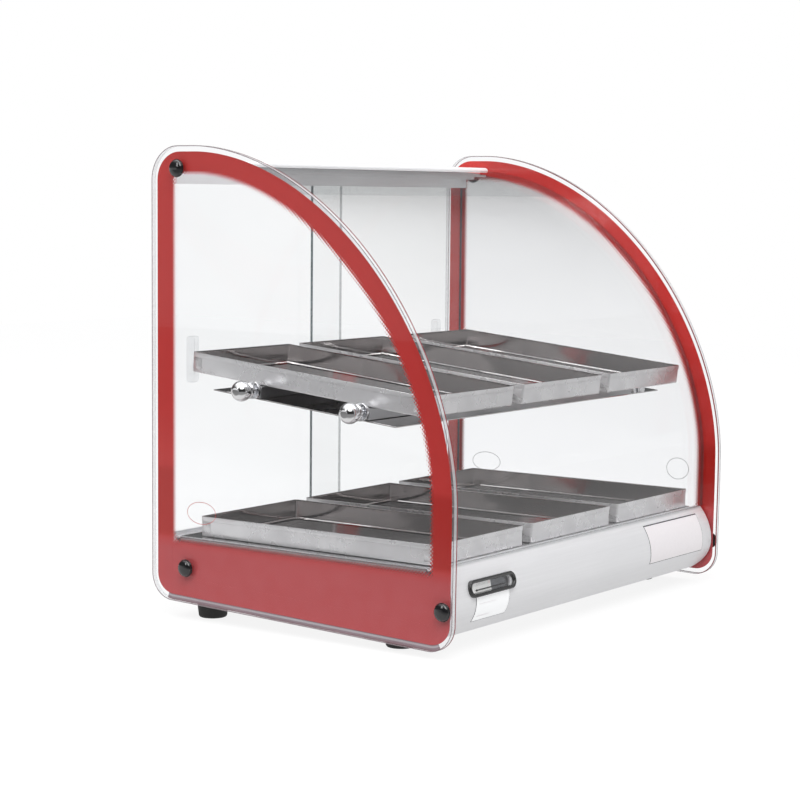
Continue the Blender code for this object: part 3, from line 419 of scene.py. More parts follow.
def red_print(name, body, ink_share):
    """Screen print that ends in dots: the dots shrink as the mesh's fade value grows."""
    graph = Graph(name)
    fade = graph.fade()
    _, along, up = graph.axes()
    turns = 2 * math.pi / DOT_PITCH / math.sqrt(2)
    diagonals = [graph.times(graph.maths(sign, along, up), turns) for sign in ("ADD", "SUBTRACT")]
    waves = [graph.maths("COSINE", diagonal) for diagonal in diagonals]
    hill = graph.maths("ADD", *waves)
    level = graph.remap(fade, 0.0, 1.0, -2.4, 2.3)
    ink = graph.remap(graph.maths("SUBTRACT", hill, level), -0.12, 0.12)
    mottle = graph.noise(60.0, detail=4.0)
    # Painted light: the red turns paler in front of the base, standing in for light that the base sends back
    # through the print.
    painted_base_light_mask = graph.remap(up, 0.075, 0.092, 1.0, 0.0)
    painted_base_light_red = graph.mixed(painted_base_light_mask, body["upper"], body["base"])
    # Painted reflection: a band of darker red between about 86 and 166 mm up.
    strip = graph.times(graph.remap(up, 0.086, 0.092), graph.remap(up, 0.158, 0.166, 1.0, 0.0))
    colour = graph.mixed(strip, painted_base_light_red, body["deep"])
    colour = graph.mixed(graph.remap(mottle, 0.35, 0.7, 0.0, 0.18), colour, body["deep"])
    painted = graph.add(
        "BsdfPrincipled", base_color=colour, roughness=0.32, coat_weight=0.25, coat_roughness=0.1
    )
    filtered = graph.clear(body["filter"])
    solid = graph.blended(ink_share, filtered, painted)
    clear = graph.clear((1, 1, 1))
    return graph.finish(graph.blended(ink, clear, solid))


def mirror_metal(name, colour, roughness, waviness, metallic=1.0):
    """Thin polished sheet: sharp reflections that wander because the sheet isn't quite flat."""
    graph = Graph(name)
    sheet = graph.noise(9.0, detail=1.0)
    ripple = graph.noise(55.0, detail=1.0, stretch=(1, 0.35, 1))
    smear = graph.noise(35.0, detail=4.0)
    tone = graph.mixed(graph.remap(smear, 0.3, 0.75), colour, scaled(colour, 0.88))
    rough = graph.remap(smear, 0.35, 0.75, roughness * 0.6, roughness * 1.6)
    relief = graph.maths("ADD", sheet, graph.times(ripple, 0.04))
    return graph.painted(
        base_color=tone, metallic=metallic, roughness=rough, normal=graph.bump(relief, waviness)
    )


def grained_metal(name, colour, roughness, grain, metallic=1.0, painted_glow=0.0):
    """Brushed or anodised metal, its lines along the long direction that the stretch gives; painted_glow is
    an emission, a painted glow that lightens it.
    """
    graph = Graph(name)
    lines = graph.noise(700.0, detail=3.0, stretch=grain)
    cloud = graph.noise(7.0, detail=2.0)
    tone = graph.mixed(graph.remap(lines, 0.3, 0.7), scaled(colour, 0.95), colour)
    tone = graph.mixed(graph.remap(cloud, 0.35, 0.75, 0.0, 0.35), tone, scaled(colour, 0.90))
    return graph.painted(
        base_color=tone,
        metallic=metallic,
        roughness=graph.remap(lines, 0.25, 0.75, roughness * 0.8, roughness * 1.25),
        emission_color=tone,
        emission_strength=painted_glow,
        normal=graph.bump(lines, 0.00001),
    )


def moulded(name, colour, roughness, grain_size, grain_depth, coat=0.0):
    """Moulded plastic or rubber with a fine surface grain and slight wear to its shine."""
    graph = Graph(name)
    grain = graph.noise(1.0 / grain_size, detail=2.0)
    wear = graph.noise(40.0, detail=3.0)
    lighter = tuple(min(1.0, c * 1.5 + 0.01) for c in colour)
    return graph.painted(
        base_color=graph.mixed(graph.remap(wear, 0.4, 0.8), colour, lighter),
        roughness=graph.remap(wear, 0.3, 0.8, roughness * 0.85, min(1.0, roughness * 1.3)),
        coat_weight=coat,
        coat_roughness=0.04,
        normal=graph.bump(grain, grain_depth),
    )


def dial_card(name):
    """White scale card with a rule, then the dark liquid end of the thermometer's window; all of it glows a
    little, a painted glow that lightens it.
    """
    graph = Graph(name)
    along, up, _ = graph.axes()
    ticks = graph.maths("COSINE", graph.times(along, 2 * math.pi / 0.0022))
    tick_row = graph.times(graph.remap(up, 0.0015, 0.0017), graph.remap(up, 0.0042, 0.0044, 1.0, 0.0))
    tick = graph.times(graph.remap(ticks, 0.86, 0.94), tick_row)
    paper = graph.mixed(graph.noise(80.0), srgb(236, 236, 234), srgb(222, 222, 222))
    marked = graph.mixed(tick, paper, srgb(110, 110, 112))
    red_zone = graph.times(graph.remap(along, -0.0015, -0.0010), tick)
    marked = graph.mixed(red_zone, marked, srgb(190, 40, 40))
    dark = graph.mixed(graph.noise(300.0, stretch=(0.2, 1, 1)), srgb(58, 60, 64), srgb(120, 122, 126))
    colour = graph.mixed(graph.remap(along, 0.0035, 0.0040), marked, dark)
    return graph.painted(
        base_color=colour,
        roughness=0.25,
        coat_weight=0.3,
        emission_color=colour,
        emission_strength=0.45,
    )


# Labels, plate outlines and etched lines; their emission is a painted glow that lightens them.
def label_film(name, colour):
    graph = Graph(name)
    fibre = graph.noise(240.0, detail=3.0)
    return graph.painted(
        base_color=graph.mixed(fibre, colour, scaled(colour, 0.93)),
        roughness=graph.remap(fibre, 0.3, 0.7, 0.28, 0.42),
        emission_color=colour,
        emission_strength=0.42,
        normal=graph.bump(fibre, 0.000004),
    )


# The print's reds: upper, its plain red; base, a paler red painted in front of the base as reflected light;
# deep, the darker red of its mottle and of a painted dark reflection band; filter, the light it lets through.
PRINT_RED = {
    "upper": srgb(212, 50, 46),
    "deep": srgb(192, 30, 20),
    "base": srgb(206, 84, 88),
    "filter": (0.95, 0.22, 0.20),
}

MATERIALS = {
    "clear_glass": clear_sheet("clear glass", (0.982, 0.984, 0.988), 0.025),
    "front_glass": clear_sheet("curved glass", (0.984, 0.986, 0.990), 0.025),
    "door_glass": clear_sheet("door glass", (0.990, 0.996, 0.996), 0.02),
    "clear_acrylic": clear_sheet("clear acrylic", (0.97, 0.972, 0.976), 0.05, haze=0.03),
    "meter_glass": clear_sheet("thermometer glass", (0.985, 0.985, 0.985), 0.03),
    "panel_edge": panel_edge("panel edge"),
    "panel_arris": arris("panel arris"),
    "front_glass_edge": glass_edge("curved glass edge", srgb(90, 92, 96), 0.35),
    "door_edge_left": glass_edge("rear door edge", srgb(150, 160, 164), 0.55),
    "door_edge_right": glass_edge("front door edge", srgb(48, 84, 94), 0.90),
    "print": red_print("red print", PRINT_RED, 0.90),
    "edge_mirror": edge_mirror("mirroring lower edge"),
    "mirror_steel": mirror_metal("mirror steel", (0.72, 0.70, 0.695), 0.05, 0.0020),
    "pan_floor": mirror_metal("pan floor", (0.80, 0.775, 0.77), 0.10, 0.0011, 0.66),
    # pan_outside: a lighter, partly diffuse copy of the pans' steel, painting in the white that their outer
    # walls reflect.
    "pan_outside": mirror_metal("pan outside", (0.88, 0.87, 0.875), 0.28, 0.0003, 0.6),
    "polished_steel": mirror_metal("polished steel", (0.70, 0.70, 0.71), 0.16, 0.0006),
    "brushed_steel": grained_metal("brushed steel", (0.60, 0.60, 0.61), 0.34, (0.03, 1, 1)),
    # Both aluminium finishes glow a little, painted light; the rail's stronger glow lightens its shaded
    # front.
    "satin_aluminium": grained_metal("satin aluminium", (0.93, 0.93, 0.945), 0.42, (0.02, 1, 1), 0.32, 0.04),
    "rail_aluminium": grained_metal("rail aluminium", (0.90, 0.90, 0.91), 0.34, (0.02, 1, 1), 0.38, 0.30),
    "chrome": mirror_metal("chrome", (0.90, 0.90, 0.91), 0.02, 0.00002),
    "black_plastic": moulded("black plastic", (0.012, 0.012, 0.013), 0.16, 0.0008, 0.000004, 0.6),
    "cord_rubber": moulded("cord rubber", (0.016, 0.016, 0.017), 0.55, 0.0005, 0.00002),
    "foot_rubber": moulded("foot rubber", (0.022, 0.021, 0.021), 0.62, 0.0007, 0.00003),
    "dial_white": dial_card("scale card"),
    "ceramic": moulded("glazed ceramic", (0.84, 0.82, 0.76), 0.30, 0.0020, 0.00002, 0.4),
    "amber_lens": moulded("amber lens", (0.85, 0.33, 0.05), 0.12, 0.0009, 0.00001, 0.8),
    "insulation": moulded("mineral wool", (0.62, 0.57, 0.40), 0.95, 0.0012, 0.0006),
    "label_white": label_film("white label", srgb(238, 239, 240)),
    "label_line": label_film("label line", srgb(70, 70, 74)),
    "label_pale": label_film("pale label", srgb(214, 210, 212)),
    "etched": label_film("etched line", srgb(110, 108, 112)),
    "etched_red": label_film("etched line over red", srgb(160, 62, 62)),
}


# ---------------------------------------------------------------- outlines


def y_at(depth):
    return REAR_Y - depth


def arc(centre, radius, start, end, steps):
    angles = [math.radians(start + (end - start) * i / steps) for i in range(steps + 1)]
    return [(centre[0] + radius * math.cos(a), centre[1] + radius * math.sin(a)) for a in angles]


def arc_angles(steps):
    """Even angles over a quarter turn."""
    return [math.pi / 2 * i / steps for i in range(steps + 1)]


def bezier(start, control, end, steps):
    points = []
    for i in range(steps + 1):
        t = i / steps
        weights = ((1 - t) ** 2, 2 * t * (1 - t), t**2)
        points.append(tuple(sum(w * p[k] for w, p in zip(weights, (start, control, end))) for k in (0, 1)))
    return points


def beside(path, distance, closed=False):
    """A path moved to the right of its direction; to the left where the distance is negative."""
    moved, count = [], len(path)
    for i, (across, up) in enumerate(path):
        if closed:
            before, after = path[i - 1], path[(i + 1) % count]
        else:
            before, after = path[max(i - 1, 0)], path[min(i + 1, count - 1)]
        along = Vector((after[0] - before[0], after[1] - before[1])).normalized()
        moved.append((across + along.y * distance, up - along.x * distance))
    return moved


def spaced(path, spacing):
    """A closed path with points at even distances."""
    points = [Vector(p) for p in path] + [Vector(path[0])]
    lengths = [(b - a).length for a, b in zip(points, points[1:])]
    count = round(sum(lengths) / spacing)
    step, made, i, used = sum(lengths) / count, [], 0, 0.0
    for n in range(count):
        target = n * step
        while used + lengths[i] < target:
            used += lengths[i]
            i += 1
        made.append(tuple(points[i].lerp(points[i + 1], (target - used) / lengths[i])))
    return made


def shoulder_curve(steps=72):
    """The superellipse that joins the panel's top edge to its front edge."""
    depth, height = SHOULDER
    points = []
    for i in range(steps + 1):
        angle = math.pi / 2 * i / steps
        across = math.sin(angle) ** (2 / SHOULDER_POWER)
        up = max(math.cos(angle), 0.0) ** (2 / SHOULDER_POWER)
        points.append((depth + (DEPTH - depth) * across, height + (HEIGHT - height) * up))
    return points


def panel_outline():
    """The side panel's edge, from the rear top corner forward, down and back along the bottom."""
    bottom_angle = -90 - math.degrees(PANEL_SLOPE)
    front_corner = (DEPTH - FRONT_TAPER[1] - FRONT_CORNER, FRONT_CORNER_HEIGHT)
    return (
        arc((TOP_CORNER, HEIGHT - TOP_CORNER), TOP_CORNER, 180, 90, 20)
        + shoulder_curve()
        + [(DEPTH, FRONT_TAPER[0])]
        + arc(front_corner, FRONT_CORNER, 0, bottom_angle, 24)
        + arc((REAR_CORNER, REAR_CORNER_HEIGHT), REAR_CORNER, bottom_angle, -180, 24)
    )


def rounded_rectangle(width, length, radius, steps=5):
    """Points round a rectangle centred on the origin, counter-clockwise from its +X side."""
    half = (width / 2 - radius, length / 2 - radius)
    corners = ((1, 1, 0), (-1, 1, 90), (-1, -1, 180), (1, -1, 270))
    points = []
    for across, along, start in corners:
        points += arc((across * half[0], along * half[1]), radius, start, start + 90, steps)
    return points


def shrunk_rectangle(width, length, inset, radius, least_radius):
    return rounded_rectangle(width - 2 * inset, length - 2 * inset, max(radius - inset, least_radius))


def slot_outline(half_length, half_height, steps=16):
    straight = half_length - half_height
    return arc((straight, 0), half_height, -90, 90, steps) + arc((-straight, 0), half_height, 90, 270, steps)


# ---------------------------------------------------------------- mesh building


def middle_of(node):
    low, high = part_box(node)
    return (low + high) / 2


def on_panel(node, sign):
    """The node's axis, on the panel's outer face."""
    middle = middle_of(node)
    return (sign * (OUTER_X + GAP / 2), middle.y, middle.z)


def show(mesh, name, materials, matrix=None, smooth_below=32):
    mesh.shade_smooth()
    mesh.set_sharp_from_angle(angle=math.radians(smooth_below))
    obj = bpy.data.objects.new(name, mesh)
    obj.matrix_world = matrix or Matrix.Identity(4)
    bpy.context.scene.collection.objects.link(obj)
    for key in [materials] if isinstance(materials, str) else materials:
        mesh.materials.append(MATERIALS[key])
    return obj


def from_bmesh(bm, name, materials, matrix=None, smooth_below=32):
    bmesh.ops.recalc_face_normals(bm, faces=bm.faces)
    mesh = bpy.data.meshes.new(name)
    bm.to_mesh(mesh)
    bm.free()
    return show(mesh, name, materials, matrix, smooth_below)


def section(name, outlines, low_x, high_x, materials, smooth_below=32):
    """(depth, height) outlines, the first outer and the others holes, extruded along X."""
    curve = bpy.data.curves.new(name, "CURVE")
    curve.dimensions = "2D"
    curve.fill_mode = "BOTH"
    curve.extrude = (high_x - low_x) / 2
    for outline in outlines:
        spline = curve.splines.new("POLY")
        spline.points.add(len(outline) - 1)
        for point, (depth, height) in zip(spline.points, outline):
            point.co = (y_at(depth), height, 0.0, 1.0)
        spline.use_cyclic_u = True
    source = bpy.data.objects.new(name + " outline", curve)
    bpy.context.scene.collection.objects.link(source)
    graph = bpy.context.evaluated_depsgraph_get()
    bm = bmesh.new()
    bm.from_mesh(bpy.data.meshes.new_from_object(source.evaluated_get(graph)))
    bpy.data.objects.remove(source)
    bmesh.ops.remove_doubles(bm, verts=bm.verts, dist=0.000001)
    middle = (low_x + high_x) / 2
    bm.transform(Matrix(((0, 0, 1, middle), (1, 0, 0, 0), (0, 1, 0, 0), (0, 0, 0, 1))))
    return from_bmesh(bm, name, materials, smooth_below=smooth_below)


def soften(obj, width, segments=2, angle=40, material=-1):
    """Rounds the object's edges; the new faces can take a material slot of their own."""
    bevel = obj.modifiers.new("softened edges", "BEVEL")
    bevel.width = width
    bevel.segments = segments
    bevel.limit_method = "ANGLE"
    bevel.angle_limit = math.radians(angle)
    bevel.harden_normals = True
    bevel.material = material
    bevel.use_clamp_overlap = True
    return obj


def edge_faces(obj, slot, test):
    """Gives the faces whose normal passes the test another of the object's materials."""
    for polygon in obj.data.polygons:
        if test(polygon.normal):
            polygon.material_index = slot


def ringed(name, loop_at, profile, materials, matrix=None, closed=False, smooth_below=32):
    """A solid whose rings are loop_at(inset) at each (inset, height) of a profile.

    An open profile is closed by a face on its first and last ring.
    """
    bm = bmesh.new()
    rings = [[bm.verts.new((x, y, height)) for x, y in loop_at(inset)] for inset, height in profile]
    pairs = list(zip(rings, rings[1:])) + ([(rings[-1], rings[0])] if closed else [])
    for lower, upper in pairs:
        for i in range(len(lower)):
            j = (i + 1) % len(lower)
            bm.faces.new((lower[i], lower[j], upper[j], upper[i]))
    if not closed:
        bm.faces.new(rings[0][::-1])
        bm.faces.new(rings[-1])
    return from_bmesh(bm, name, materials, matrix, smooth_below)


def lathe(name, profile, origin, axis, materials, steps=72, smooth_below=32):
    """A (radius, height) profile turned about an axis; both ends lie on it, or the profile is a ring."""
    bm = bmesh.new()
    points = [bm.verts.new((radius, 0.0, height)) for radius, height in profile]
    edges = [bm.edges.new(pair) for pair in zip(points, points[1:])]
    if min(profile[0][0], profile[-1][0]) > 0:
        edges.append(bm.edges.new((points[-1], points[0])))
    bmesh.ops.spin(
        bm, geom=points + edges, cent=(0, 0, 0), axis=(0, 0, 1), angle=2 * math.pi, steps=steps
    )
    bmesh.ops.remove_doubles(bm, verts=bm.verts, dist=0.000005)
    facing = Vector(axis).to_track_quat("Z", "Y").to_matrix().to_4x4()
    return from_bmesh(bm, name, materials, Matrix.Translation(origin) @ facing, smooth_below)


def fillet(points, radius, steps=4):
    """An open profile with its inner corners rounded by short curves."""
    made = [points[0]]
    for before, corner, after in zip(points, points[1:], points[2:]):
        corner, sides = Vector(corner), []
        for other in (before, after):
            leg = Vector(other) - corner
            sides.append(corner + leg.normalized() * min(radius, leg.length * 0.45))
        made += bezier(tuple(sides[0]), tuple(corner), tuple(sides[1]), steps)
    return made + [points[-1]]


def rounded_block(name, low, high, rounding, materials, matrix=None, segments=3):
    """A block whose edges are all rounded, made as a mesh."""
    low, high = Vector(low), Vector(high)
    bm = bmesh.new()
    bmesh.ops.create_cube(bm, size=1.0)
    bmesh.ops.scale(bm, vec=high - low, verts=bm.verts)
    bmesh.ops.translate(bm, vec=(low + high) / 2, verts=bm.verts)
    bmesh.ops.bevel(
        bm, geom=bm.edges[:], offset=rounding, segments=segments, profile=0.5, affect="EDGES"
    )
    return from_bmesh(bm, name, materials, matrix, smooth_below=40)


def subtract(obj, cutter):
    """Cuts one object by another for good, and removes the cutter."""
    modifier = obj.modifiers.new("cut", "BOOLEAN")
    modifier.operation = "DIFFERENCE"
    modifier.object = cutter
    graph = bpy.context.evaluated_depsgraph_get()
    mesh = bpy.data.meshes.new_from_object(obj.evaluated_get(graph))
    obj.modifiers.remove(modifier)
    obj.data = mesh
    bpy.data.objects.remove(cutter)


def stands_for(obj, *nodes):
    """The piece rides where its CAD node does, and is shown in its stead."""
    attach(obj, BODY_OF[nodes[0]])
    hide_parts(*nodes)
    return obj


def added_to(obj, node):
    """A surface detail that rides with a CAD node's body."""
    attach(obj, BODY_OF[node])
    return obj


# ---------------------------------------------------------------- side panels


def hole_centres(side):
    """(depth, height) of every screw and stud that passes through a panel."""
    centres = []
    for node in frame["nodes"]:
        if node.startswith(("cap_screw", "shelf_stud")) and node.endswith(side):
            middle = middle_of(node)
            centres.append((REAR_Y - middle.y, middle.z))
    return sorted(centres)


def side_glass(side, sign):
    centres = hole_centres(side)
    holes = [arc(centre, PANEL_HOLE, 0, 345, 23) for centre in centres]
    faces = sorted((sign * INNER_X, sign * OUTER_X))
    node = f"side_glass_{side}"
    materials = ("clear_glass", "panel_edge")
    glass = section(f"{node}_pane", [panel_outline(), *holes], *faces, materials)
    edge_faces(glass, 1, lambda normal: abs(normal.x) < 0.5)
    for polygon in glass.data.polygons:
        place = (REAR_Y - polygon.center.y, polygon.center.z)
        if min(math.dist(place, centre) for centre in centres) < 1.3 * PANEL_HOLE:
            polygon.material_index = 0
    stands_for(soften(glass, 0.0005, 2, 50), node)


def arris_lines(side, sign):
    """The fine line of each face's polished edge; the inner one, a painted reflection of the print, shows
    only round the front.
    """
    edge = spaced(panel_outline(), OUTLINE_SPACING)
    rings = [beside(edge, distance, closed=True) for distance in (0.0001, ARRIS)]
    frontward = [(b[1] - a[1]) / math.dist(a, b) for a, b in zip(edge, edge[1:] + edge[:1])]
    for face, x, fades in (
        ("outer", OUTER_X - GAP, [0.3] * len(edge)),
        ("inner", INNER_X + GAP, [min(max(1.0 + 2.2 * rise, 0.0), 1.0) for rise in frontward]),
    ):
        name = f"{face}_arris_{side}"
        line = fading_sheet(name, rings, [fades, fades], sign * x, "panel_arris", closed=True)
        added_to(line, f"side_glass_{side}")


def fade_at(height, distance):
    by_edge = (distance - PRINT_SOLID) / (PRINT_END - PRINT_SOLID)
    by_height = (height - PRINT_BASE[0]) / (PRINT_BASE[1] - PRINT_BASE[0])
    return min(max(min(by_edge, by_height), 0.0), 1.0)


def panel_foot(depth):
    """Height of the panel's straight bottom edge."""
    start = REAR_CORNER_HEIGHT - REAR_CORNER / math.cos(PANEL_SLOPE)
    return start - (depth - REAR_CORNER) * math.tan(PANEL_SLOPE)


def fading_sheet(name, rows, fades, x, material, closed):
    """A thin sheet over rows of (depth, height) points, with a fade value at each point."""
    bm = bmesh.new()
    layer = bm.verts.layers.float.new("fade")
    grid = []
    for row, values in zip(rows, fades):
        grid.append([bm.verts.new((x, y_at(depth), height)) for depth, height in row])
        for vert, value in zip(grid[-1], values):
            vert[layer] = value
    for first, second in zip(grid, grid[1:]):
        count = len(first)
        for i in range(count if closed else count - 1):
            j = (i + 1) % count
            bm.faces.new((first[i], first[j], second[j], second[i]))
    sheet = from_bmesh(bm, name, material)
    thick = sheet.modifiers.new("sheet", "SOLIDIFY")
    thick.thickness = PRINT_SHEET
    thick.offset = 0.0
    sheet.data.shade_flat()
    return sheet


def inside_edge(edge, distance):
    """A ring inside the panel's edge, kept short of the centres of the lower corners."""
    short = PRINT_SOLID + 0.1 * (distance - PRINT_SOLID)
    low = beside(edge, min(distance, short), closed=True)
    return [
        near if near[1] < PRINT_BASE[0] else far
        for near, far in zip(low, beside(edge, distance, closed=True))
    ]


def print_on_panel(side, sign):
    """The red band along the panel's edge, and the red field in front of the base."""
    edge = spaced(panel_outline(), OUTLINE_SPACING)
    distances = [PRINT_CLEAR, 0.016, PRINT_SOLID]
    distances += [PRINT_SOLID + (PRINT_END - PRINT_SOLID) * i / 4 for i in (1, 2, 3, 4)]
    rings = [inside_edge(edge, distance) for distance in distances]
    flatness = [abs(b[0] - a[0]) / math.dist(a, b) for a, b in zip(edge, edge[1:] + edge[:1])]
    rings[0] = [
        beside(edge, PRINT_CLEAR + PRINT_CLEAR_MORE * share**2, closed=True)[i]
        for i, share in enumerate(flatness)
    ]
    fades = [[fade_at(h, d) for _, h in ring] for ring, d in zip(rings, distances)]
    x = sign * (OUTER_X - PRINT_LAYER)
    band = fading_sheet(f"printed_band_{side}", rings, fades, x, "print", closed=True)
    added_to(band, f"side_glass_{side}")
    margin = PRINT_FIELD_MARGIN
    columns = [margin + (DEPTH - 2 * margin) * i / 40 for i in range(41)]
    low_edge = [(depth, panel_foot(depth) + margin) for depth in columns]
    levels = [PRINT_BASE[0] + (PRINT_BASE[1] - PRINT_BASE[0]) * i / 5 for i in range(6)]
    rows = [low_edge] + [[(depth, level) for depth in columns] for level in levels]
    fades = [[fade_at(h, PRINT_END) for _, h in row] for row in rows]
    behind = x - sign * 2 * PRINT_SHEET
    field = fading_sheet(f"printed_field_{side}", rows, fades, behind, "print", closed=False)
    added_to(field, f"side_glass_{side}")


def lower_edge_mirror(side, sign):
    """What the left panel's lower edge mirrors, painted as a strip in the clear border."""
    edge = spaced(panel_outline(), OUTLINE_SPACING)
    low = [
        i
        for i, (a, b) in enumerate(zip(edge, edge[1:]))
        if b[0] < a[0] and abs(b[1] - a[1]) < MIRROR_SLOPE * (a[0] - b[0])
    ]
    reach = PRINT_CLEAR + PRINT_CLEAR_MORE
    levels = [MIRROR_STRIP + (reach - MIRROR_STRIP) * i / 8 for i in range(9)]
    rows = [[beside(edge, level, closed=True)[i] for i in low] for level in levels]
    fades = [[level / reach] * len(low) for level in levels]
    x = sign * (OUTER_X - PRINT_LAYER)
    strip = fading_sheet(f"lower_edge_mirror_{side}", rows, fades, x, "edge_mirror", closed=False)
    added_to(strip, f"side_glass_{side}")


def etched_oval(name, side, centre, size, finish):
    """A plain oval ring on the panel's outer face."""
    steps = 64
    bm = bmesh.new()
    rings = []
    line, rise = OVAL_LINE
    for shrink, out in ((0.0, 0.0), (line * 0.3, rise), (line * 0.7, rise), (line, 0.0)):
        ring = []
        for i in range(steps):
            angle = 2 * math.pi * i / steps
            depth = centre[0] + (size[0] - shrink) * math.cos(angle)
            height = centre[1] + (size[1] - shrink) * math.sin(angle)
            ring.append(bm.verts.new((SIDES[side] * (OUTER_X + 0.00001 + out), y_at(depth), height)))
        rings.append(ring)
    for first, second in zip(rings, rings[1:] + rings[:1]):
        for i in range(steps):
            j = (i + 1) % steps
            bm.faces.new((first[i], first[j], second[j], second[i]))
    added_to(from_bmesh(bm, name, finish), f"side_glass_{side}")


# ---------------------------------------------------------------- front glass and doors


def front_glass():
    edge = shoulder_curve() + [(DEPTH, FRONT_TAPER[0]), (DEPTH, FRONT_GLASS_FOOT)]
    outer = [(FRONT_GLASS_REAR, HEIGHT - FRONT_GLASS_INSET)] + beside(edge, FRONT_GLASS_INSET)
    outline = outer + beside(outer, FRONT_GLASS)[::-1]
    half = INNER_X - GAP
    glass = section("front_glass_pane", [outline], -half, half, ("front_glass", "front_glass_edge"), 20)
    edge_faces(glass, 1, lambda normal: abs(normal.x) > 0.5 or normal.z < -0.9)
    stands_for(soften(glass, 0.0004, 2, 50, material=1), "front_glass")


def door(side):
    node = f"door_{side}"
    low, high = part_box(node)
    pane = rounded_block(f"{node}_pane", low, high, 0.0007, ("door_glass", f"door_edge_{side}"))
    edge_faces(pane, 1, lambda normal: abs(normal.y) < 0.6)
    stands_for(pane, node)
    node = f"door_pull_{side}"
    low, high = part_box(node)
    middle = (low + high) / 2
    width, depth, height = high - low
    facing = Matrix.Translation((middle.x, low.y, middle.z)) @ Matrix.Rotation(-math.pi / 2, 4, "X")
    rim, floor = PULL_RIM, depth * PULL_FLOOR
    profile = fillet([(0.0, 0.0), (0.0, depth), (rim, depth), (rim + 0.0012, floor)], 0.0012)
    profile += [(rim + 0.0018, floor)]
    pull = ringed(
        f"{node}_grip",
        lambda inset: shrunk_rectangle(width, height, inset, *PULL_CORNER),
        profile,
        "clear_acrylic",
        facing,
    )
    stands_for(pull, node)


# ---------------------------------------------------------------- pans


def food_pan(level, column):
    """A folded tray with rounded bends, a hem round its rim and a lapped fold at each corner."""
    node = f"{level}_pan_{column}"
    low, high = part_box(node)
    tilt = SHELF_TILT if level == "upper" else 0.0
    width = high.x - low.x
    run = (high.y - low.y) - PAN_HEIGHT * math.sin(tilt)
    length = run / math.cos(tilt)
    hem, proud = PAN_HEM
    wall = proud + PAN_SHEET
    inside = [(wall + 0.012, PAN_SHEET - PAN_HEIGHT), (wall, PAN_SHEET - PAN_HEIGHT), (wall, 0.0)]
    inside = fillet(inside, PAN_BEND, 5)[:-1]
    rim = fillet([(wall, -0.002), (wall, 0.0), (0.0, 0.0), (0.0, -hem), (proud, -hem)], 0.0004, 3)
    outside = fillet([(proud, -hem - 0.001), (proud, -PAN_HEIGHT), (proud + 0.012, -PAN_HEIGHT)], 0.0018, 5)
    rear = Vector(((low.x + high.x) / 2, high.y - PAN_HEIGHT * math.sin(tilt), high.z))
    place = Matrix.Translation(rear) @ Matrix.Rotation(tilt, 4, "X")
    middle = Matrix.Translation((0, -length / 2, 0))
    pan = ringed(
        f"{node}_tray",
        lambda inset: shrunk_rectangle(width, length, inset, *PAN_CORNER),
        inside + rim + outside,
        ("mirror_steel", "pan_outside", "pan_floor"),
        place @ middle,
        smooth_below=50,
    )
    first_outside = (len(inside) + len(rim) // 2) * len(rounded_rectangle(width, length, PAN_CORNER[0]))
    for polygon in pan.data.polygons[first_outside:]:
        polygon.material_index = 1
    pan.data.polygons[-2].material_index = 2  # the floor's upper side, closed after the rings
    stands_for(pan, node)
    lap, thickness = PAN_LAP
    lap_height = PAN_HEIGHT - hem - 0.004
    for side, sign in SIDES.items():
        for end, along in (("rear", -0.002), ("front", 0.002 + lap - length)):
            x = sign * (width / 2 - proud)
            flap = rounded_block(
                f"{node}_lap_{end}_{side}",
                (min(x, x + sign * thickness), along - lap, -hem - lap_height),
                (max(x, x + sign * thickness), along, -hem - proud),
                0.00015,
                "pan_outside",
                place,
                segments=2,
            )
            added_to(flap, node)


# ---------------------------------------------------------------- fasteners


def cap_screw(side, sign, place):
    node = f"cap_screw_{place}_{side}"
    low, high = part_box(node)
    radius = (high.z - low.z) / 2
    height = (high.x - OUTER_X) if sign > 0 else (-OUTER_X - low.x)
    origin = on_panel(node, sign)
    flange, step = CAP_FLANGE
    dome = [
        ((radius - step) * math.sin(a), flange + (height - GAP - flange) * math.cos(a) ** 0.8)
        for a in arc_angles(14)
    ]
    profile = dome[:-1] + fillet([dome[-1], (radius, flange), (radius, 0.0), (CAP_SEAT, 0.0)], 0.0003, 3)
    shank, reach = CAP_SHANK
    profile += [(shank, -0.0002), (shank, -reach), (0.0, -reach - 0.0005)]
    stands_for(lathe(f"{node}_cap", profile, origin, (sign, 0, 0), "black_plastic"), node)


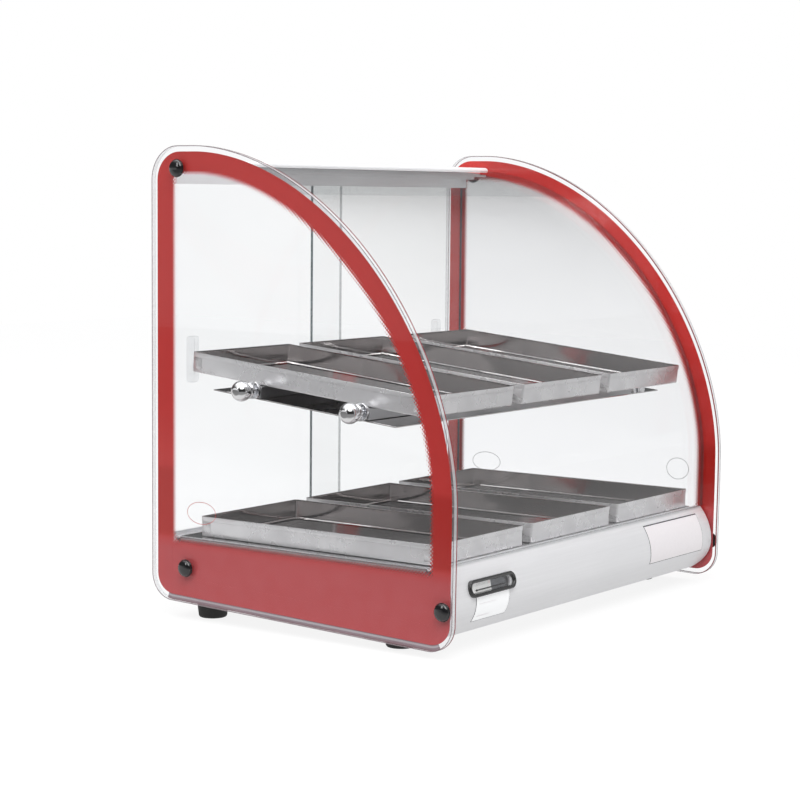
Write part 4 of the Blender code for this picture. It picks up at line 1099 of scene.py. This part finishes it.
def shelf_stud(side, sign, end):
    """Chrome ball knob: flattened face with a fine edge, a waist and a stepped collar."""
    node = f"shelf_stud_{end}_{side}"
    low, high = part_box(node)
    radius = (high.z - low.z) / 2
    flat, flat_level = STUD_FLAT
    origin = on_panel(node, sign)
    face = STUD_STANDOFF + math.sqrt(radius**2 - flat_level**2)
    start, waist = math.asin(flat / radius), math.pi - math.asin(STUD_WAIST / radius)
    ball = [
        (radius * math.sin(a), STUD_STANDOFF + radius * math.cos(a))
        for a in [start + (waist - start) * i / 40 for i in range(41)]
    ]
    profile = [(0.0, face), (flat - 0.0009, face), (flat - 0.0004, face - 0.00005)] + ball
    profile += fillet(STUD_COLLAR, 0.0003)
    shank, reach = STUD_SHANK
    profile += [(shank, -0.0001), (shank, -reach), (0.0, -reach - 0.0005)]
    stands_for(lathe(f"{node}_ball", profile, origin, (sign, 0, 0), "chrome", 96), node)
    node = f"shelf_spacer_{end}_{side}"
    low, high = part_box(node)
    length, radius = high.x - low.x, (high.z - low.z) / 2
    crown = [
        (SPACER_CROWN + (radius - SPACER_CROWN) * math.cos(a), -0.0022 - (length - 0.0024) * math.sin(a))
        for a in arc_angles(20)
    ]
    profile = [(SPACER_BORE, -0.0001)] + fillet([(0.004, 0.0), (radius, 0.0), (radius, -0.0022)], 0.0004)
    profile += crown + [(SPACER_BORE, -length + 0.0002)]
    face = sign * max(abs(low.x), abs(high.x))
    origin = (face, *middle_of(node).yz)
    stands_for(lathe(f"{node}_dome", profile, origin, (sign, 0, 0), "chrome", 96), node)


def foot(side, sign, end):
    node = f"foot_{end}_{side}"
    low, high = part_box(node)
    origin = Vector((*middle_of(node).xy, 0.0))
    top = (high.x - low.x) / 2
    hole, depth = FOOT_RECESS
    side = [(0.0, high.z), (top, high.z), (FOOT_BOTTOM + 0.0012, 0.0014), (FOOT_BOTTOM, 0.0), (hole, 0.0)]
    profile = fillet(side, 0.0010) + [(hole, depth - 0.0005), (hole - 0.0005, depth), (0.0, depth)]
    made = lathe(f"{node}_pad", profile, origin, (0, 0, 1), "foot_rubber")
    bm = bmesh.new()
    bm.from_mesh(made.data)
    seat = high.z - (high.y - origin.y) * math.tan(TUB_SLOPE)
    cut = bmesh.ops.bisect_plane(
        bm,
        geom=bm.verts[:] + bm.edges[:] + bm.faces[:],
        plane_co=(0, 0, seat - GAP),
        plane_no=(0, -math.sin(TUB_SLOPE), math.cos(TUB_SLOPE)),
        clear_outer=True,
    )
    rim = [e for e in cut["geom_cut"] if isinstance(e, bmesh.types.BMEdge)]
    bmesh.ops.contextual_create(bm, geom=rim)
    bm.to_mesh(made.data)
    bm.free()
    made.data.set_sharp_from_angle(angle=math.radians(32))
    stands_for(made, node)


# ---------------------------------------------------------------- rail, fascia, labels, thermometer


def top_rail():
    """The header extrusion: two door channels, a screw port and a slot that holds the front glass."""
    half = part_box("top_rail")[1].x
    rear, middle, front = RAIL_FINS
    slot_top = HEIGHT - FRONT_GLASS_INSET + GAP
    slot_floor = HEIGHT - FRONT_GLASS_INSET - FRONT_GLASS - GAP
    slot_end = FRONT_GLASS_REAR - 2 * GAP
    round_corner = arc((rear + RAIL_ROUND, RAIL_TOP - RAIL_ROUND), RAIL_ROUND, 180, 90, 8)
    outline = [(rear, RAIL_FOOT), *round_corner, (slot_end - 0.002, RAIL_TOP), (slot_end, RAIL_CROWN)]
    nose, lip = RAIL_NOSE
    outline += bezier((nose - RAIL_NOSE_CURVE, RAIL_CROWN), (nose, RAIL_CROWN), (nose, slot_top), 10)
    outline += [(slot_end, slot_top), (slot_end, slot_floor), (lip, slot_floor), (lip, RAIL_LIP)]
    outline += [(RAIL_PORT[0], RAIL_LIP), RAIL_PORT, (front + RAIL_FIN, RAIL_PORT[1])]
    for depth, roof in ((front, RAIL_ROOFS[0]), (middle, RAIL_ROOFS[1])):
        outline += [(depth + RAIL_FIN, RAIL_FOOT), (depth, RAIL_FOOT), (depth, roof)]
        outline += [(depth - RAIL_CHANNEL, roof)]
    outline += [(rear + RAIL_FIN, RAIL_FOOT)]
    rail = section("top_rail_extrusion", [outline], -half, half, "rail_aluminium")
    stands_for(soften(rail, 0.0003, 2, 40), "top_rail")


def fascia_path(steps=28):
    ledge = [(FASCIA_BACK, FASCIA_LEDGE[0]), (FASCIA_LEDGE[1], FASCIA_TOP[1])]
    upper = bezier(FASCIA_TOP, (FASCIA_CREST[0], FASCIA_BULGE[0]), FASCIA_CREST, steps)
    lower = bezier(FASCIA_CREST, (FASCIA_CREST[0], FASCIA_BULGE[1]), FASCIA_FOOT, steps)[1:]
    return ledge + upper + lower


def fascia():
    path = fascia_path()
    outline = path + beside(path, FASCIA)[::-1]
    shell = section("fascia_shell", [outline], -BASE_HALF, BASE_HALF, "satin_aluminium")
    window = [side / 2 + METER_CLEARANCE for side in METER_WINDOW]
    cutter = ringed(
        "window cutter",
        lambda inset: slot_outline(*window),
        [(0.0, -0.02), (0.0, 0.02)],
        "satin_aluminium",
        meter_matrix(),
    )
    subtract(shell, cutter)
    stands_for(soften(shell, 0.0004, 2, 50), "fascia")
    centre = next(c for c in hole_centres("left") if c[0] > DEPTH / 2 and c[1] < HEIGHT / 4)
    port = lathe(
        "fascia_screw_port",
        [(0.0023, BASE_HALF), (0.0043, BASE_HALF), (0.0043, -BASE_HALF), (0.0023, -BASE_HALF)],
        (0, y_at(centre[0]), centre[1]),
        (1, 0, 0),
        "satin_aluminium",
        32,
    )
    added_to(port, "fascia")


def on_fascia(name, low_x, high_x, low_z, high_z, rise, material):
    """A thin film that follows the fascia's face between two heights."""
    path = fascia_path(60)
    inside = [p for p in path[3:] if low_z < p[1] < high_z]
    outer = beside(inside, -(rise + FILM))
    outline = outer + beside(inside, -rise)[::-1]
    film = section(name, [outline], low_x, high_x, material)
    return added_to(film, "fascia")


def labels():
    """Blank plates with an outline; two plain rules stand for the small print on one of them."""
    line, (outline_rise, plate_rise, rule_rise) = PLATE_LINE, PLATE_RISES
    for name, (x0, x1, z0, z1, finish) in PLATES.items():
        on_fascia(f"{name}_outline", x0, x1, z0, z1, outline_rise, "label_line")
        on_fascia(name, x0 + line, x1 - line, z0 + line, z1 - line, plate_rise, finish)
    margin, thickness = PLATE_RULE
    start = PLATE_LEFT + margin
    for i, (length, z) in enumerate(PLATE_RULES):
        on_fascia(f"data_plate_rule_{i}", start, start + length, z, z + thickness, rule_rise, "label_pale")


def meter_matrix():
    """Local +Z points out of the fascia at the thermometer, +X along it."""
    facing = Matrix.Rotation(math.pi / 2 - METER_TILT, 4, "X")
    return Matrix.Translation((METER_X, y_at(METER_CREST), METER_HEIGHT)) @ facing


def thermometer():
    half_length, half_height = (side / 2 for side in METER_SIZE)
    band = half_height - METER_WINDOW[1] / 2
    corners = [(0.0, -METER_PROUD), (0.0, METER_PROUD), (band, METER_PROUD - 0.0004), (band, METER_CARD[0])]
    bezel = ringed(
        "meter_bezel_ring",
        lambda inset: slot_outline(half_length - inset, half_height - inset, 24),
        fillet(corners, 0.0016, 6),
        "black_plastic",
        meter_matrix(),
        closed=True,
    )
    stands_for(bezel, "meter_bezel")
    window = [side / 2 - GAP for side in METER_WINDOW]

    def flat(inset):
        return slot_outline(window[0] - inset, window[1] - inset, 20)

    back, edge, face = METER_CARD
    card_profile = [(0.0, back), (0.0, edge), (0.0002, face)]
    card = ringed("meter_dial_card", flat, card_profile, "dial_white", meter_matrix())
    stands_for(card, "meter_dial")
    stands_for(ringed("meter_lens_pane", flat, METER_LENS, "meter_glass", meter_matrix()), "meter_lens")
    half, radius, bulb = METER_COLUMN
    tip = [(radius * math.sin(a), half - radius + radius * math.cos(a)) for a in arc_angles(6)]
    stem = tip + [(radius, -half + 0.004), (bulb, -half + 0.002), (0.0, -half)]
    origin = meter_matrix() @ METER_COLUMN_PLACE
    stands_for(lathe("meter_column_tube", stem, origin, (1, 0, 0), "black_plastic", 24), "meter_column")


# ---------------------------------------------------------------- rear controls


def knob():
    """Fluted control knob with a pointer line."""
    low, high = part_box("thermostat_knob")
    skirt, length = (high.x - low.x) / 2, high.y - low.y - 0.0009

    def outline(inset):
        radius = skirt - inset
        points = []
        for i in range(8 * KNOB_FLUTES):
            angle = 2 * math.pi * i / (8 * KNOB_FLUTES)
            depth = 0.00045 * max(0.0, math.cos(KNOB_FLUTES * angle)) if inset > 0.001 else 0.0
            points.append(((radius - depth) * math.cos(angle), (radius - depth) * math.sin(angle)))
        return points

    side = skirt - KNOB_TOP
    profile = [(skirt - 0.0035, 0.0), (0.0003, 0.0), (0.0, 0.0004), (0.0003, 0.0018), (side - 0.0004, 0.0026)]
    profile += [(side, 0.0034), (side + 0.0004, length - 0.0012), (side + 0.0010, length - 0.0004)]
    profile += [(side + 0.0020, length), (side + 0.0040, length - 0.0002)]
    centre = Vector((middle_of("thermostat_knob").x, low.y, KNOB_HEIGHT))
    facing = Matrix.Translation(centre) @ Matrix.Rotation(-math.pi / 2, 4, "X")
    stands_for(ringed("thermostat_knob_body", outline, profile, "black_plastic", facing), "thermostat_knob")
    pointer = ((-0.0007, -0.0095, length - 0.0002), (0.0007, -0.0030, length + 0.0004))
    line = rounded_block("thermostat_knob_pointer", *pointer, 0.0002, "label_white", facing)
    added_to(line, "thermostat_knob")
    heat_scale(centre)


def heat_scale(centre):
    """Marks printed on the wall round the knob."""
    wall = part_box("base_tub")[1].y
    for i in range(HEAT_MARKS):
        angle = math.radians(HEAT_MARK_START - HEAT_MARK_STEP * i)
        turn = Matrix.Translation((centre.x, wall, centre.z)) @ Matrix.Rotation(-angle, 4, "Y")
        end = HEAT_MARK_REACH + HEAT_MARK_LENGTHS[i % 2]
        corners = ((-0.0004, 0.00001, HEAT_MARK_REACH), (0.0004, 0.00016, end))
        mark = rounded_block(f"heat_scale_mark_{i}", *corners, 0.00005, "label_line", turn, segments=1)
        added_to(mark, "base_tub")


def pilot_lamp():
    middle = middle_of("pilot_lamp")
    origin = (middle.x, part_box("base_tub")[1].y + GAP, middle.z)
    dome, flange, body = LAMP
    profile = [(dome * math.sin(a), 0.0015 + 0.0030 * math.cos(a)) for a in arc_angles(14)]
    profile += fillet([(dome, 0.0013), (flange, 0.0012), (flange, 0.0), (body, 0.0)], 0.0002)
    profile += [(body, -0.0155), (0.0, -0.016)]
    stands_for(lathe("pilot_lamp_lens", profile, origin, (0, 1, 0), "amber_lens", 48), "pilot_lamp")


# ---------------------------------------------------------------- nodes carried over


def carry_over():
    """CAD nodes whose shape is right keep it, with welded, softened edges and a finish."""
    for node, obj in frame["nodes"].items():
        if obj.hide_render:
            continue
        obj.data.materials.clear()
        obj.data.materials.append(MATERIALS[SLOT_OF[node]])
        weld = obj.modifiers.new("weld", "WELD")
        weld.merge_threshold = 0.00001
        if node in ("power_cord", "heating_element"):
            smooth = obj.modifiers.new("smooth", "SUBSURF")
            smooth.levels = smooth.render_levels = 1
        else:
            soften(obj, 0.00035, 2, 35)


# ---------------------------------------------------------------- studio


CAMERA_PLACE = (-1.9623, -1.3350, 0.4527)
CAMERA_YAW = math.radians(54.40)
CAMERA_PITCH = math.radians(5.50)
CAMERA_ROLL = math.radians(0.524)
CAMERA_LENS = 95.56
SKY_PEAK = 1.5
SKY = (  # sine of the elevation, light seen by everything but the camera
    (-1.0, 0.80), (-0.20, 0.86), (-0.14, 0.84), (0.02, 0.80), (0.045, 0.13), (0.22, 0.06),
    (0.50, 0.09), (0.66, 0.70), (0.80, 1.35), (1.0, SKY_PEAK),
)
FLOOR_REACH = (0.42, 0.60)  # toward the camera, where the floor's own light fades out
LAMP_TARGET = Vector((0, 0, 0.25))
SOFT_BOXES = {  # place, size, watts
    "overhead": ((-0.2, 0.1, 1.9), (1.8, 0.7), 12),
    "left": ((-2.2, 0.6, 1.5), (0.5, 1.4), 10),
    "front left": ((-1.9, -1.6, 2.6), (1.7, 1.7), 44),
}


def studio_camera():
    data = bpy.data.cameras.new("camera")
    data.lens = CAMERA_LENS
    data.sensor_width = 36.0
    camera = bpy.data.objects.new("camera", data)
    bpy.context.scene.collection.objects.link(camera)
    right = Vector((math.cos(CAMERA_YAW), -math.sin(CAMERA_YAW), 0.0))
    level = math.cos(CAMERA_PITCH)
    forward = Vector((math.sin(CAMERA_YAW) * level, math.cos(CAMERA_YAW) * level, -math.sin(CAMERA_PITCH)))
    up = right.cross(forward)
    cosine, sine = math.cos(CAMERA_ROLL), math.sin(CAMERA_ROLL)
    columns = (cosine * right + sine * up, cosine * up - sine * right, -forward)
    turn = Matrix([[column[row] for column in columns] for row in range(3)]).to_4x4()
    camera.matrix_world = Matrix.Translation(CAMERA_PLACE) @ turn
    bpy.context.scene.camera = camera


def toward_camera(graph, east, north):
    """How far a place or a direction lies toward the camera."""
    parts = (graph.times(east, -math.sin(CAMERA_YAW)), graph.times(north, -math.cos(CAMERA_YAW)))
    return graph.maths("ADD", *parts)


def studio_world():
    """White to the camera; to everything else a light table, a dark horizon and a bright ceiling."""
    world = bpy.data.worlds.new("studio")
    bpy.context.scene.world = world
    graph = Graph("studio", world)
    east, north, up = graph.add("SeparateXYZ", vector=graph.add("TexCoord", output=0)).node.outputs
    stops = [((height + 1) / 2, (light / SKY_PEAK,) * 3) for height, light in SKY]
    sky = graph.times(graph.ramp(graph.remap(up, -1.0, 1.0), stops), SKY_PEAK)
    level = graph.maths("MAXIMUM", sky, graph.remap(north, -0.35, 0.15, 0.46, 0.0))
    window = graph.times(graph.remap(up, -0.16, -0.06), graph.remap(up, 0.42, 0.60, 1.0, 0.0))
    flag = graph.times(graph.remap(toward_camera(graph, east, north), 0.50, 0.66), window)
    level = graph.times(level, graph.remap(flag, 0.0, 1.0, 1.0, 0.08))
    light = graph.add("CombineXYZ", x=level, y=level, z=graph.times(level, 1.01))
    seen = graph.add("Background", color=(1, 1, 1), strength=1.0)
    lit = graph.add("Background", color=light, strength=1.0)
    is_camera = graph.add("LightPath", output=0)
    graph.finish(graph.blended(is_camera, lit, seen), "OutputWorld")


def studio_floor():
    """A pale floor that reads white and takes only a faint contact shadow."""
    bm = bmesh.new()
    bmesh.ops.create_grid(bm, x_segments=2, y_segments=2, size=4.0)
    mesh = bpy.data.meshes.new("floor")
    bm.to_mesh(mesh)
    bm.free()
    floor = bpy.data.objects.new("floor", mesh)
    floor.location.z = CAD_BOX[0][2] - 0.0002
    bpy.context.scene.collection.objects.link(floor)
    graph = Graph("pale floor")
    cloud = graph.noise(1.5)
    is_camera = graph.add("LightPath", output=0)
    east, north, _ = graph.axes()
    unseen = graph.remap(toward_camera(graph, east, north), *FLOOR_REACH, 0.66, 0.06)
    strength = graph.maths("MAXIMUM", graph.times(is_camera, 1.05), unseen)
    glow = graph.add("Emission", color=(1, 1, 1), strength=strength)
    matt = graph.add("BsdfDiffuse", color=graph.mixed(cloud, (0.84, 0.84, 0.84), (0.86, 0.86, 0.86)))
    mesh.materials.append(graph.finish(graph.blended(0.18, glow, matt)))


def soft_box(name, place, size, strength):
    data = bpy.data.lights.new(name, "AREA")
    data.shape = "RECTANGLE"
    data.size, data.size_y = size
    data.energy = strength
    lamp = bpy.data.objects.new(name, data)
    lamp.location = place
    lamp.rotation_mode = "QUATERNION"
    lamp.rotation_quaternion = (LAMP_TARGET - Vector(place)).to_track_quat("-Z", "Y")
    bpy.context.scene.collection.objects.link(lamp)


def studio():
    studio_camera()
    studio_world()
    studio_floor()
    for name, settings in SOFT_BOXES.items():
        soft_box(name, *settings)
    scene = bpy.context.scene
    scene.view_settings.view_transform = "Standard"
    scene.cycles.transparent_max_bounces = 40
    scene.cycles.max_bounces = 16
    scene.cycles.glossy_bounces = 10


# ---------------------------------------------------------------- assembly

for hand, direction in SIDES.items():
    side_glass(hand, direction)
    arris_lines(hand, direction)
    print_on_panel(hand, direction)
    door(hand)
    for corner_name in ("top", "rear", "front"):
        cap_screw(hand, direction, corner_name)
    for row in ("rear", "front"):
        shelf_stud(hand, direction, row)
        foot(hand, direction, row)
lower_edge_mirror("left", SIDES["left"])
for oval_name, oval in OVALS.items():
    etched_oval(oval_name, *oval)
front_glass()
top_rail()
for shelf_level in ("upper", "lower"):
    for pan_column in ("left", "middle", "right"):
        food_pan(shelf_level, pan_column)
fascia()
labels()
thermometer()
knob()
pilot_lamp()
carry_over()
studio()
